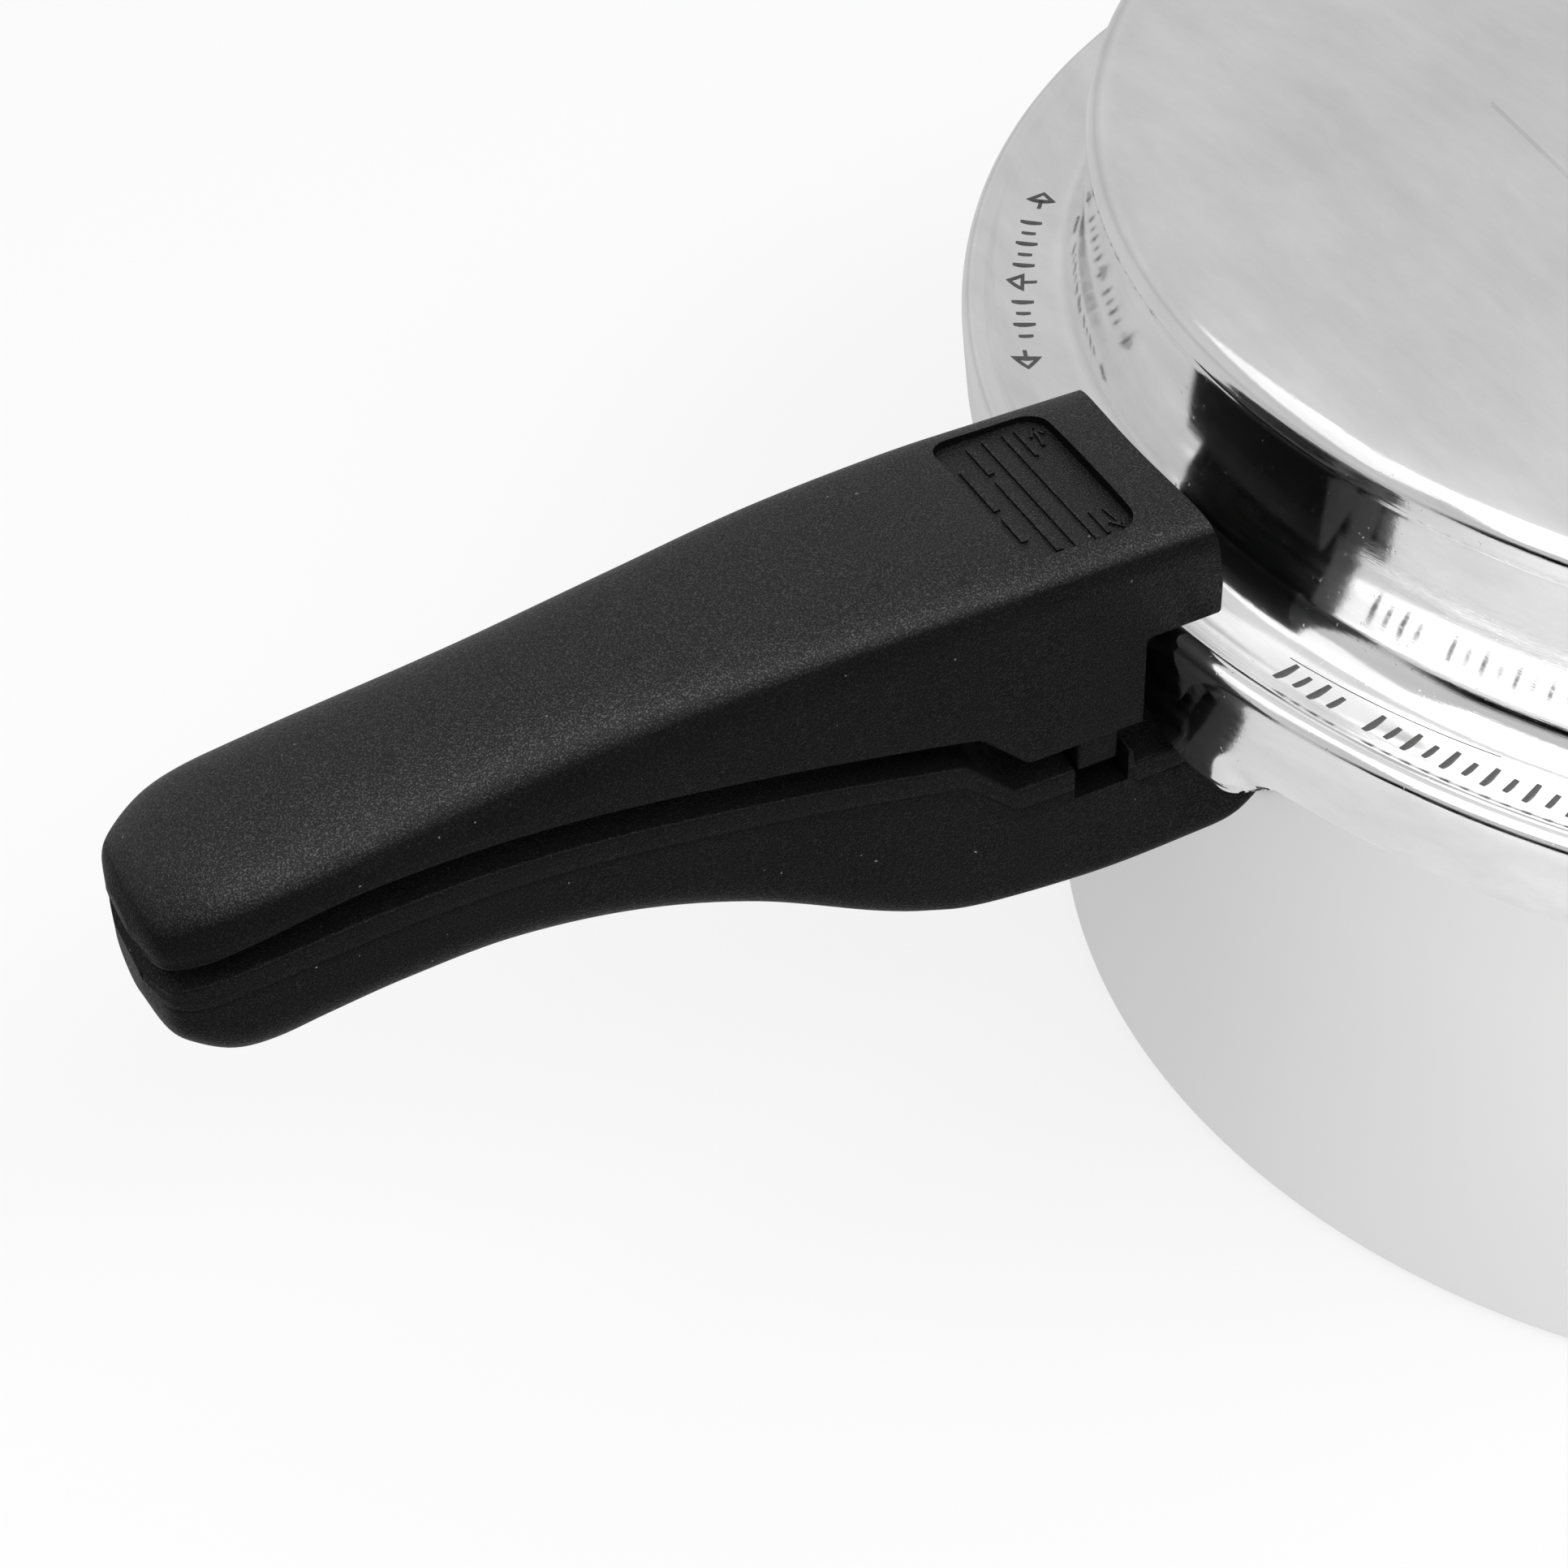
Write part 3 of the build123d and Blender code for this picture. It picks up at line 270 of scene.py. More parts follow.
class Nodes:
    """Short names for building one material's node tree."""

    def __init__(self, name, colour, metallic, roughness, specular=0.5):
        self.material = bpy.data.materials.new(name)
        self.material.use_nodes = True
        self.tree = self.material.node_tree
        self.shader = self.tree.nodes["Principled BSDF"]
        self.shader.inputs["Base Color"].default_value = (*colour, 1)
        self.shader.inputs["Metallic"].default_value = metallic
        self.shader.inputs["Roughness"].default_value = roughness
        self.shader.inputs["Specular IOR Level"].default_value = specular
        self.position = self.add("ShaderNodeTexCoord").outputs["Object"]

    def add(self, kind, **settings):
        node = self.tree.nodes.new(kind)
        for key, value in settings.items():
            setattr(node, key, value)
        return node

    def link(self, source, target):
        self.tree.links.new(source, target)

    def scaled(self, factors, source=None):
        """Coordinates times a factor along each axis."""
        node = self.add("ShaderNodeVectorMath", operation="MULTIPLY")
        self.link(source or self.position, node.inputs[0])
        node.inputs[1].default_value = factors
        return node.outputs[0]

    def turned(self, radial, height, around):
        """Coordinates that run along the radius, the height and round the Z axis."""
        flat = self.scaled((1, 1, 0))
        length = self.add("ShaderNodeVectorMath", operation="LENGTH")
        self.link(flat, length.inputs[0])
        split = self.add("ShaderNodeSeparateXYZ")
        self.link(self.position, split.inputs[0])
        angle = self.add("ShaderNodeMath", operation="ARCTAN2")
        self.link(split.outputs["Y"], angle.inputs[0])
        self.link(split.outputs["X"], angle.inputs[1])
        joined = self.add("ShaderNodeCombineXYZ")
        self.link(length.outputs["Value"], joined.inputs["X"])
        self.link(split.outputs["Z"], joined.inputs["Y"])
        self.link(angle.outputs[0], joined.inputs["Z"])
        return self.scaled((radial, height, around), joined.outputs[0])

    def noise(self, source, scale, detail=3.0, roughness=0.5):
        node = self.add("ShaderNodeTexNoise")
        node.inputs["Scale"].default_value = scale
        node.inputs["Detail"].default_value = detail
        node.inputs["Roughness"].default_value = roughness
        self.link(source, node.inputs["Vector"])
        return node.outputs["Fac"]

    def spread(self, source, low, high, to_low, to_high):
        node = self.add("ShaderNodeMapRange")
        set_range(node, low, high, to_low, to_high)
        self.link(source, node.inputs["Value"])
        return node.outputs["Result"]

    def between(self, factor, dark, light):
        node = self.add("ShaderNodeMix", data_type="RGBA")
        node.inputs["A"].default_value = (*dark, 1)
        node.inputs["B"].default_value = (*light, 1)
        self.link(factor, node.inputs["Factor"])
        return node.outputs["Result"]

    def math(self, operation, first, second):
        node = self.add("ShaderNodeMath", operation=operation)
        for value, socket in ((first, node.inputs[0]), (second, node.inputs[1])):
            if isinstance(value, (int, float)):
                socket.default_value = value
            else:
                self.link(value, socket)
        return node.outputs[0]

    def bump(self, height, strength, distance, below=None):
        node = self.add("ShaderNodeBump")
        node.inputs["Strength"].default_value = strength
        node.inputs["Distance"].default_value = distance
        self.link(height, node.inputs["Height"])
        if below is not None:
            self.link(below, node.inputs["Normal"])
        return node.outputs["Normal"]

    def wear(self, colour=None, roughness=None, normal=None):
        for key, value in (("Base Color", colour), ("Roughness", roughness), ("Normal", normal)):
            if value is not None:
                self.link(value, self.shader.inputs[key])
        return self.material


def polished_aluminium():
    """Hand-polished casting: rings of fine polishing lines, haze, tiny pits."""
    n = Nodes("polished_aluminium", (0.86, 0.86, 0.86), 1.0, 0.15)
    rings = n.turned(1, 1, 0.004)
    lines = n.noise(rings, 7000, 2)
    broad = n.noise(n.turned(1, 1, 0.02), 900, 3)
    haze = n.noise(n.position, 28, 4)
    pits = n.noise(n.position, 900, 2, 0.7)
    pit_mask = n.spread(pits, 0.68, 0.78, 0, 1)
    rough = n.spread(haze, 0.3, 0.7, 0.05, 0.10)
    rough = n.math("ADD", rough, n.spread(pit_mask, 0, 1, 0, 0.2))
    rough = n.math("ADD", rough, n.spread(broad, 0.3, 0.7, 0, 0.06))
    wave = n.bump(n.noise(n.position, 45, 2), 0.2, 0.0002)
    grain = n.bump(n.noise(n.position, 1100, 2), 0.16, 0.00003, wave)
    fine = n.bump(lines, 0.30, 0.00002, grain)
    dents = n.bump(n.spread(pit_mask, 0, 1, 1, 0), 0.3, 0.00005, fine)
    mottle = n.noise(n.scaled((1, 0.25, 1)), 130, 6, 0.65)
    tone = n.math("ADD", n.math("MULTIPLY", haze, 0.4), n.math("MULTIPLY", mottle, 0.6))
    colour = n.between(n.spread(tone, 0.38, 0.62, 0, 1), (0.82, 0.82, 0.82), (0.94, 0.94, 0.94))
    return n.wear(colour, rough, dents)


def satin_aluminium():
    """Spun sheet: a fine satin with rings from spinning."""
    n = Nodes("satin_aluminium", (0.8, 0.8, 0.8), 1.0, 0.35)
    lines = n.noise(n.turned(1, 1, 0.003), 2500, 3)
    haze = n.noise(n.position, 18, 3)
    rough = n.spread(haze, 0.3, 0.7, 0.32, 0.38)
    colour = n.between(haze, (0.86, 0.86, 0.86), (0.92, 0.92, 0.92))
    return n.wear(colour, rough, n.bump(lines, 0.16, 0.00003))


# Painted shade: the sides get a low specular level and the top a higher one, set by which way the surface
# faces.
PAINTED_SIDE_SHADE_SHINE = 0.05
SIDE_SHADE_TO_TOP_SHINE = (0.55, 0.82)  # upward part of the normal where the top's shine sets in


def black_moulding(name, top_shine):
    """Heat-resistant black moulding: fine spark-eroded grain, bright specks painted in its colour as
    glints, and painted shade on its sides from a lower specular level.
    """
    n = Nodes(name, (0.012, 0.012, 0.012), 0.0, 0.42)
    facing = n.add("ShaderNodeSeparateXYZ")
    n.link(n.add("ShaderNodeNewGeometry").outputs["Normal"], facing.inputs[0])
    # painted shade: faces turned away from up get less shine than the top
    shine_with_painted_side_shade = n.spread(facing.outputs["Z"], *SIDE_SHADE_TO_TOP_SHINE, PAINTED_SIDE_SHADE_SHINE, top_shine)
    grain = n.noise(n.position, 2600, 2, 0.6)
    sparkle = n.noise(n.position, 4600, 1, 0.5)
    glint = n.math("MULTIPLY", shine_with_painted_side_shade, n.spread(sparkle, 0.50, 0.68, 0.72, 2.6))
    n.link(glint, n.shader.inputs["Specular IOR Level"])
    soft = n.noise(n.position, 60, 3)
    # painted highlight: tiny bright specks in the base colour stand in for glints off the grain
    painted_glint_noise = n.noise(n.position, 1300, 1, 0.4)
    painted_glint_mask = n.spread(painted_glint_noise, 0.80, 0.83, 0, 1)
    base = n.between(soft, (0.0025, 0.0025, 0.0025), (0.005, 0.005, 0.005))
    mixed = n.add("ShaderNodeMix", data_type="RGBA")
    n.link(painted_glint_mask, mixed.inputs["Factor"])
    n.link(base, mixed.inputs["A"])
    mixed.inputs["B"].default_value = (0.16, 0.16, 0.16, 1)
    rough = n.spread(grain, 0.3, 0.7, 0.30, 0.50)
    coarse = n.bump(grain, 0.9, 0.00014)
    return n.wear(mixed.outputs["Result"], rough, n.bump(sparkle, 0.9, 0.00014, coarse))


def plated(name, colour, roughness, line_strength):
    """Turned or plated metal with fine machining rings and small tone changes."""
    n = Nodes(name, colour, 1.0, roughness)
    lines = n.noise(n.turned(1, 1, 0.01), 7000, 2)
    haze = n.noise(n.position, 220, 3)
    rough = n.spread(haze, 0.3, 0.7, roughness * 0.8, roughness * 1.3)
    tone = n.between(haze, [c * 0.9 for c in colour], colour)
    return n.wear(tone, rough, n.bump(lines, line_strength, 0.00002))


def rubber():
    n = Nodes("gasket_rubber", (0.05, 0.05, 0.052), 0.0, 0.7, 0.3)
    bloom = n.noise(n.position, 400, 4)
    colour = n.between(bloom, (0.04, 0.04, 0.042), (0.075, 0.075, 0.078))
    return n.wear(colour, n.spread(bloom, 0.3, 0.7, 0.6, 0.8), n.bump(bloom, 0.2, 0.00005))


def stamped_mark():
    """The dull dark floor of a stamped mark in the flange."""
    n = Nodes("stamped_mark", (0.10, 0.10, 0.10), 0.6, 0.5)
    grime = n.noise(n.position, 1500, 3)
    colour = n.between(grime, (0.05, 0.05, 0.05), (0.17, 0.17, 0.17))
    return n.wear(colour, n.spread(grime, 0.3, 0.7, 0.4, 0.7), n.bump(grime, 0.3, 0.00005))


POLISHED = polished_aluminium()
SATIN = satin_aluminium()
BLACK = black_moulding("black_moulding", 0.33)
# A shaded copy of the moulding: its low top shine paints shade on the lower handle under the upper one.
PAINTED_SHADE_BLACK = black_moulding("black_moulding_painted_shade", 0.10)
STEEL = plated("steel", (0.58, 0.58, 0.59), 0.3, 0.2)
CHROME = plated("chrome", (0.82, 0.82, 0.83), 0.07, 0.08)
BRASS = plated("brass", (0.80, 0.62, 0.30), 0.22, 0.2)
RIVET = plated("rivet_aluminium", (0.72, 0.72, 0.73), 0.35, 0.2)
ALLOY = plated("fusible_alloy", (0.52, 0.52, 0.54), 0.45, 0.1)
RUBBER = rubber()
MARK = stamped_mark()

# ---------------------------------------------------------------- lid

CROWN_Z = LID_HIGH.z
FLANGE_R = LID_HIGH.y
SKIRT_LOW_Z = 96.0
SKIRT_INNER_R = 124.9
GROOVE_TOP_Z = 105.1
DOME_R = 111.2
INNER_DOME_R = 108.2
SHOULDER_R = 104.5
SHOULDER_Z = 139.0
SHOULDER_DROP = 7.5
LID_T = 3.0
PIPE_HOLE_R = 5.1
LUG_COUNT = 6
LID_LUG_R = 117.0
LID_LUG_T = 2.6
LID_LUG_HALF_DEG = 13.0
TONGUE_HALF_W = 8.0
TONGUE_LOW_Z = 99.5
TONGUE_TOP_Z = 105.2
PLUG_CENTRE = ((PLUG_LOW.x + PLUG_HIGH.x) / 2, (PLUG_LOW.y + PLUG_HIGH.y) / 2)
FLANGE_PROFILE = [
    # radius, height from the wall's foot over the dish and the ridge to the skirt
    (DOME_R, 122.0),
    (DOME_R, 115.0),
    (112.3, 111.2),
    (115.2, 108.6),
    (119.7, 107.9),
    (123.4, 108.8),
    (125.6, 109.9),
    (127.4, 109.4),
    (FLANGE_R, 107.4),
    (FLANGE_R - 0.2, 103.0),
]


def dome_height(radius):
    """Height of the dome's outside above its shoulder."""
    return CROWN_Z - SHOULDER_DROP * (radius / SHOULDER_R) ** 2


def lid_path():
    """The lid's closed section, from the vent hole outwards and back inside."""
    outside = [(r, dome_height(r)) for r in np.linspace(PIPE_HOLE_R, 100.0, 60)]
    shoulder = smooth_points(
        [
            (100.0, dome_height(100.0)),
            (SHOULDER_R, SHOULDER_Z),
            (108.4, 138.1),
            (110.6, 136.4),
            (111.35, 134.2),
        ]
    )
    crease = [(111.38, 133.9), (111.32, 133.6), (DOME_R, 133.2)]
    wall = [(DOME_R, z) for z in np.linspace(132.4, 123.0, 8)]
    flange = smooth_points(FLANGE_PROFILE, 7)
    skirt = [(FLANGE_R - 0.2 - 0.5 * t, 103 - 6.4 * t) for t in np.linspace(0.06, 1, 14)]
    inside = rounded_path(
        [
            (127.6, SKIRT_LOW_Z, 0.7),
            (SKIRT_INNER_R, SKIRT_LOW_Z, 0.7),
            (SKIRT_INNER_R, GROOVE_TOP_Z, 0.3),
            (110.6, GROOVE_TOP_Z, 1.5),
            (INNER_DOME_R, 108.5, 1.5),
            (INNER_DOME_R, 133.0, 2.5),
            (SHOULDER_R, 136.1, 2.0),
            (60.0, 141.2, 0.0),
            (PIPE_HOLE_R, CROWN_Z - LID_T, 0.0),
        ]
    )
    return outside + shoulder[1:] + crease + wall + flange + skirt[:-1] + inside[1:]


def ramp(value, start, end):
    """0 before start, 1 after end, smooth in between."""
    t = min(max((value - start) / (end - start), 0.0), 1.0)
    return t * t * (3 - 2 * t)


# The skirt's two lobes, by degrees away from the handle: where each deepens and ends, how
# deep the near and far ones reach, and the cast dimple in them.
LOBE_TOP_Z = 102.0
LOBE_NEAR_Z = 89.7
LOBE_FAR_Z = 91.5
LOBE_START_DEG = (3.2, 9.8)
LOBE_END_DEG = (12.2, 17.2)
DIMPLE_DEG, DIMPLE_HALF_DEG = 14.3, 1.3
DIMPLE_Z, DIMPLE_HALF_H = 94.2, 2.1
DIMPLE_DEPTH = 0.9


def skirt_shape(radius, z, azimuth):
    """Deeper rounded lobes of the skirt beside the handle, with a cast dimple."""
    turn = (azimuth + 180) % 360 - 180
    away = 180 - abs(turn)
    if z < LOBE_TOP_Z and radius > 120.0 and away < 20:
        lowest = LOBE_NEAR_Z if turn < 0 else LOBE_FAR_Z
        lobe = ramp(away, *LOBE_START_DEG) - ramp(away, *LOBE_END_DEG)
        z -= lobe * (SKIRT_LOW_Z - lowest) * (LOBE_TOP_Z - z) / (LOBE_TOP_Z - SKIRT_LOW_Z)
        if radius > 126.5:
            aside = (away - DIMPLE_DEG) / DIMPLE_HALF_DEG
            radius -= DIMPLE_DEPTH * math.exp(-(aside**2) - ((z - DIMPLE_Z) / DIMPLE_HALF_H) ** 2)
    return radius, z


# even steps, and finer ones round the lobes
LID_AZIMUTHS = sorted(
    {round(a, 3) for a in full_turn(480)}
    | {round(180 + side * a, 3) for side in (-1, 1) for a in np.arange(2.5, 18.0, 0.25)}
)


def make_lid():
    """Hollow lid with its skirt, the six lugs, the handle's tongue and the plug's boss."""
    shell = lathe(lid_path(), LID_AZIMUTHS, shape=skirt_shape)
    root_r = SKIRT_INNER_R + 0.4
    lug_section = [
        (LID_LUG_R, SKIRT_LOW_Z, 0.6),
        (root_r, SKIRT_LOW_Z, 0.2),
        (root_r, SKIRT_LOW_Z + LID_LUG_T, 0.2),
        (LID_LUG_R, SKIRT_LOW_Z + LID_LUG_T, 0.6),
    ]
    lugs = [
        ring_block(lug_section, 360 / LUG_COUNT * i, LID_LUG_HALF_DEG, 24) for i in range(LUG_COUNT)
    ]
    tongue_outline = box_outline(LID_LOW.x, -125.2, -TONGUE_HALF_W, TONGUE_HALF_W, 2.0)
    tongue = rounded_prism(tongue_outline, TONGUE_LOW_Z, TONGUE_TOP_Z, 0.4)
    boss = lathe(
        rounded_path(
            [(6.1, 139.6, 0), (14.5, 139.6, 0), (15.0, 143.3, 1.2), (12.5, 144.6, 0.5), (6.1, 144.6, 0.3)]
        ),
        full_turn(72),
        PLUG_CENTRE,
    )
    verts, faces = join_parts(shell, *lugs, tongue, boss)
    mesh_piece("lid_shell", verts, faces, "lid", POLISHED, ["lid_cover"])


make_lid()


ARC_SCALE = 2.09  # millimetres of flange per degree at the dish
STAMP_LOW, STAMP_HIGH = -0.25, 0.05
ARROW_SIZE = 1.5
ARROW_STEM = 2.1
LEFT_TICK_DEG = 1.32
NEAR_TICK_DEG = 1.3


def flange_height(radius):
    """Height of the flange's top at a radius."""
    points = smooth_points(FLANGE_PROFILE, 7)
    radii = [p[0] for p in points]
    return float(np.interp(radius, radii, [p[1] for p in points]))


def on_flange(radius, azimuth, lift):
    """A point lifted off the flange's top."""
    a = math.radians(azimuth)
    return (radius * math.cos(a), radius * math.sin(a), flange_height(radius) + lift)


def stroke(points, width, place, low, high, closed=False):
    """A rounded bar along 2D points; place(a, b, lift) puts it on a surface."""
    pts = [Vector(p) for p in points]
    sides = []
    n = len(pts)
    for i, p in enumerate(pts):
        before = pts[i - 1] if i or closed else p
        after = pts[(i + 1) % n] if i < n - 1 or closed else p
        first = (p - before).normalized() if (p - before).length else (after - p).normalized()
        second = (after - p).normalized() if (after - p).length else first
        bisector = (first + second).normalized()
        normal = Vector((-bisector.y, bisector.x))
        reach = width / 2 / max(MITRE_LIMIT, bisector.dot(first))
        sides.append((p, normal * reach))
    levels = [(1.0, low), (1.0, high - 0.02), (0.8, high)]
    section = [(-s, h) for s, h in levels] + [(s, h) for s, h in reversed(levels)]
    verts = []
    for p, side in sides:
        for s, h in section:
            q = p + side * s
            verts.append(place(q.x, q.y, h))
    return verts, ring_faces(n, len(section), closed)


def flange_stroke(points, width, closed=False):
    """A stroke given as (radius, azimuth) points."""

    def place(r, arc, lift):
        return on_flange(r, arc / ARC_SCALE, lift)

    flat = [(r, az * ARC_SCALE) for r, az in points]
    return stroke(flat, width, place, STAMP_LOW, STAMP_HIGH, closed)


def flange_arrow(radius, azimuth, direction):
    """A hollow arrow on the flange; direction is a unit (radial, along) pair."""
    along = Vector(direction) * ARROW_SIZE
    side = Vector((-along.y, along.x)) * 1.1
    foot = -along * 0.3
    head = [(radius + p.x, azimuth + p.y / ARC_SCALE) for p in (along, foot + side, foot - side)]
    tail = [foot, foot - Vector(direction) * ARROW_STEM]
    line = [(radius + p.x, azimuth + p.y / ARC_SCALE) for p in tail]
    return [flange_stroke(head, 0.55, True), flange_stroke(line, 0.6)]


def make_flange_marks():
    """Stamped arrows, and rows of plain ticks as (first azimuth, count)."""
    parts = []
    parts += flange_arrow(119.1, 138.8, (0, -1))
    parts += flange_arrow(120.1, 149.2, (1, 0))
    parts += flange_arrow(120.2, 158.4, (0, 1))
    for start, count in ((141.9, 5), (151.6, 4)):
        for i in range(count):
            half = 1.6 if i % 2 == 0 else 1.05
            az = start + i * LEFT_TICK_DEG
            parts.append(flange_stroke([(119.6 - half, az), (119.6 + half, az)], 0.6))
    for start, count in ((193.9, 4), (200.6, 11), (217.0, 4), (223.5, 3)):
        for i in range(count):
            half = 1.95 if i % 2 == 0 else 1.4
            az = start + i * NEAR_TICK_DEG
            parts.append(flange_stroke([(119.7 - half, az + 0.1), (119.7 + half, az - 0.1)], 0.72))
    scribed = [(117.4 - 1.4 * t, 193.2 + 15 * t) for t in np.linspace(0, 1, 24)]
    parts.append(flange_stroke(scribed, 0.1))
    verts, faces = join_parts(*parts)
    mesh_piece("flange_marks", verts, faces, "lid", MARK)


make_flange_marks()


def on_dome(x, y, lift):
    """A point lifted off the dome."""
    return (x, y, dome_height(math.hypot(x, y)) + lift)


def make_dome_bar():
    """A plain raised bar cast on the dome."""
    line = [(-53.6 - 0.1 * t, 21.5 - t) for t in np.linspace(0, 43, 12)]
    verts, faces = stroke(line, 1.3, on_dome, -0.3, 0.5)
    mesh_piece("dome_bar", verts, faces, "lid", POLISHED)


make_dome_bar()

# ---------------------------------------------------------------- pan

PAN_R = 111.0
WALL_T = 3.2
BASE_T = 5.0
RIM_R = 115.3
RIM_TOP_Z = PAN_HIGH.z
RIM_LOW_Z = RIM_TOP_Z - 2.7
PAN_LUG_R = 122.5
PAN_LUG_HALF_DEG = 14.0


def make_pan():
    """The pot with its out-turned rim and six lugs; points along the wall keep its shading even."""
    path = rounded_path(
        [
            (0.5, 0.0, 0),
            (60.0, 0.0, 0),
            (98.0, 0.0, 0),
            (PAN_R, 0.0, 2.5),
            (PAN_R, 30.0, 0),
            (PAN_R, 60.0, 0),
            (PAN_R, RIM_LOW_Z, 0.8),
            (RIM_R, RIM_LOW_Z, 0.5),
            (RIM_R, RIM_TOP_Z, 0.8),
            (PAN_R - WALL_T, RIM_TOP_Z, 0.8),
            (PAN_R - WALL_T, BASE_T, 9.0),
            (0.5, BASE_T, 0),
        ],
        8,
    )
    shell = lathe(path, full_turn(360))
    lug_section = [
        (RIM_R - 1, RIM_LOW_Z, 0.2),
        (PAN_LUG_R, RIM_LOW_Z, 0.6),
        (PAN_LUG_R, RIM_TOP_Z, 0.6),
        (RIM_R - 1, RIM_TOP_Z, 0.2),
    ]
    lugs = [
        ring_block(lug_section, 360 / LUG_COUNT * i, PAN_LUG_HALF_DEG, 26) for i in range(LUG_COUNT)
    ]
    verts, faces = join_parts(shell, *lugs)
    mesh_piece("pan_shell", verts, faces, "pan", SATIN, ["pan_body"])


make_pan()

# ---------------------------------------------------------------- handles

SIDE_STEPS = 6
PARTING_DROP = 3.0
PARTING_HALF_W = 0.2
CROWN_STEPS = 14
CORNER_STEPS = 5
FLAT_STEPS = 5
RISE_SHARE = 0.45  # how much a rise of the flat face counts in spacing the crown's rings
PATH_GAP = 1.2


def table_curve(rows, column):
    """A smooth function of x from one column of a table of stations."""
    points = smooth_points([(row[0], row[column]) for row in rows], 8)
    xs = [p[0] for p in reversed(points)]
    ys = [p[1] for p in reversed(points)]
    return lambda x: float(np.interp(x, xs, ys))


def side_rows(height, parting):
    """Steps down a grip's side as (fraction, depth), with a fine groove at the parting line."""
    middle = min(0.5, PARTING_DROP / height)
    half = min(middle / 2, PARTING_HALF_W / height)
    foot = middle + half
    rows = [(middle / 2, 0.0), (middle - half, 0.0), (middle, parting), (foot, 0.0)]
    rows += [(foot + (1 - foot) * k / SIDE_STEPS, 0.0) for k in range(1, SIDE_STEPS)]
    return rows + [(1.0, 0.0)]


def grip_mesh(flat_path, stations, up, corner_r, tip_x, front_x, front_r, parting=0.0):
    """A moulded handle: rings from a flat face's side path to the crown above it.

    flat_path is (x, z) from front to tip; stations are (x, half width, side z, crown z, square).
    up is 1 if the crown is above the flat face and -1 if it hangs below; parting is the depth
    of the groove along the side.
    """
    half_of, side_of, crown_of, square_of = (table_curve(stations, c) for c in (1, 2, 3, 4))
    path = np.array(flat_path, float)
    step = np.diff(path, axis=0)
    weight = np.abs(step[:, 0]) + RISE_SHARE * np.abs(step[:, 1]) + 1e-4
    run = np.concatenate([[0], np.cumsum(weight)])
    crown_x = front_x + (tip_x - front_x) * run / run[-1]
    tangent = np.gradient(path, axis=0)
    tangent /= np.linalg.norm(tangent, axis=1)[:, None] + 1e-12
    inward = np.stack([tangent[:, 1], -tangent[:, 0]], axis=1) * up
    rings = []
    for (x, z), (nx, nz), cx in zip(path, inward, crown_x):
        w = half_of(cx)
        low_w = half_of(x)
        crown = crown_of(cx)
        side = side_of(cx)
        r = min(corner_r, low_w * 0.5, abs(crown - z) * 0.3)
        ring = []
        for k in range(FLAT_STEPS):
            ring.append((x, (low_w - r) * k / FLAT_STEPS, z))
        for k in range(CORNER_STEPS + 1):
            t = math.pi / 2 * k / CORNER_STEPS
            off = r * (1 - math.cos(t))
            ring.append((x + nx * off, low_w - r + r * math.sin(t), z + nz * off))
        sx, sz = x + nx * r, z + nz * r
        top_z = side if (side - sz) * up > 0 else sz + 0.02 * up
        for t, sink in side_rows(abs(top_z - sz), parting):
            px = sx + (cx - sx) * t
            ring.append((px, (half_of(px) if t < 1 else w) - sink, sz + (top_z - sz) * t))
        q = square_of(cx)
        rise = crown - top_z
        control = [(w, top_z), (w, top_z + q * rise), (q * w, crown), (0, crown)]
        for k in range(1, CROWN_STEPS + 1):
            t = k / CROWN_STEPS
            c = ((1 - t) ** 3, 3 * t * (1 - t) ** 2, 3 * t * t * (1 - t), t**3)
            y = sum(a * p[0] for a, p in zip(c, control))
            h = sum(a * p[1] for a, p in zip(c, control))
            ring.append((cx, y, h))
        rings.append(ring + [(a, -b, c) for a, b, c in reversed(ring[1:-1])])
    rings = front_round(rings[0], front_r) + rings
    return [v for ring in rings for v in ring], ring_faces(len(rings), len(rings[0]))


def front_round(first, radius, steps=4):
    """Rounded edge rings that close the front end of a grip."""
    first = np.array(first, float)
    centre = (first.max(0) + first.min(0)) / 2
    reach = (first.max(0) - first.min(0)) / 2
    made = []
    for k in range(steps):
        t = math.pi / 2 * (1 - k / steps)
        inset = radius * (1 - math.cos(t))
        ring = first.copy()
        ring[:, 0] = first[:, 0] + radius * math.sin(t)
        for axis in (1, 2):
            ring[:, axis] = centre[axis] + (first[:, axis] - centre[axis]) * (1 - inset / reach[axis])
        made.append([tuple(v) for v in ring])
    return made


def dense(path, gap):
    """The path with points added so that none are further apart than gap."""
    out = [path[0]]
    for a, b in zip(path, path[1:]):
        count = max(1, math.ceil(math.dist(a, b) / gap))
        out += [tuple(a[i] + (b[i] - a[i]) * k / count for i in (0, 1)) for k in range(1, count + 1)]
    return out


EDGE_R = 0.8
FRONT_BLANK_X = UPPER_HIGH.x + 4.0  # the blank reaches past the front and is cut back to it
TIP_X = UPPER_LOW.x
UPPER_BLOCK_Z = 96.1
OVERHANG_Z = 110.7
SKIRT_CLEAR_R = FLANGE_R + 2.7
# The front end follows the dome's wall and leans back towards its top edge.
FRONT_LOW_R = 120.2
FRONT_TOP_R = 122.2
FRONT_LEAN_Z = 115.5
CUTTER_IN_R = 60.0
UPPER_CUT_Z = (80.0, 130.0)
SLOT_GAP = 0.3
TAB_BOX = (-139.0, -133.0, -17.0, -12.5)

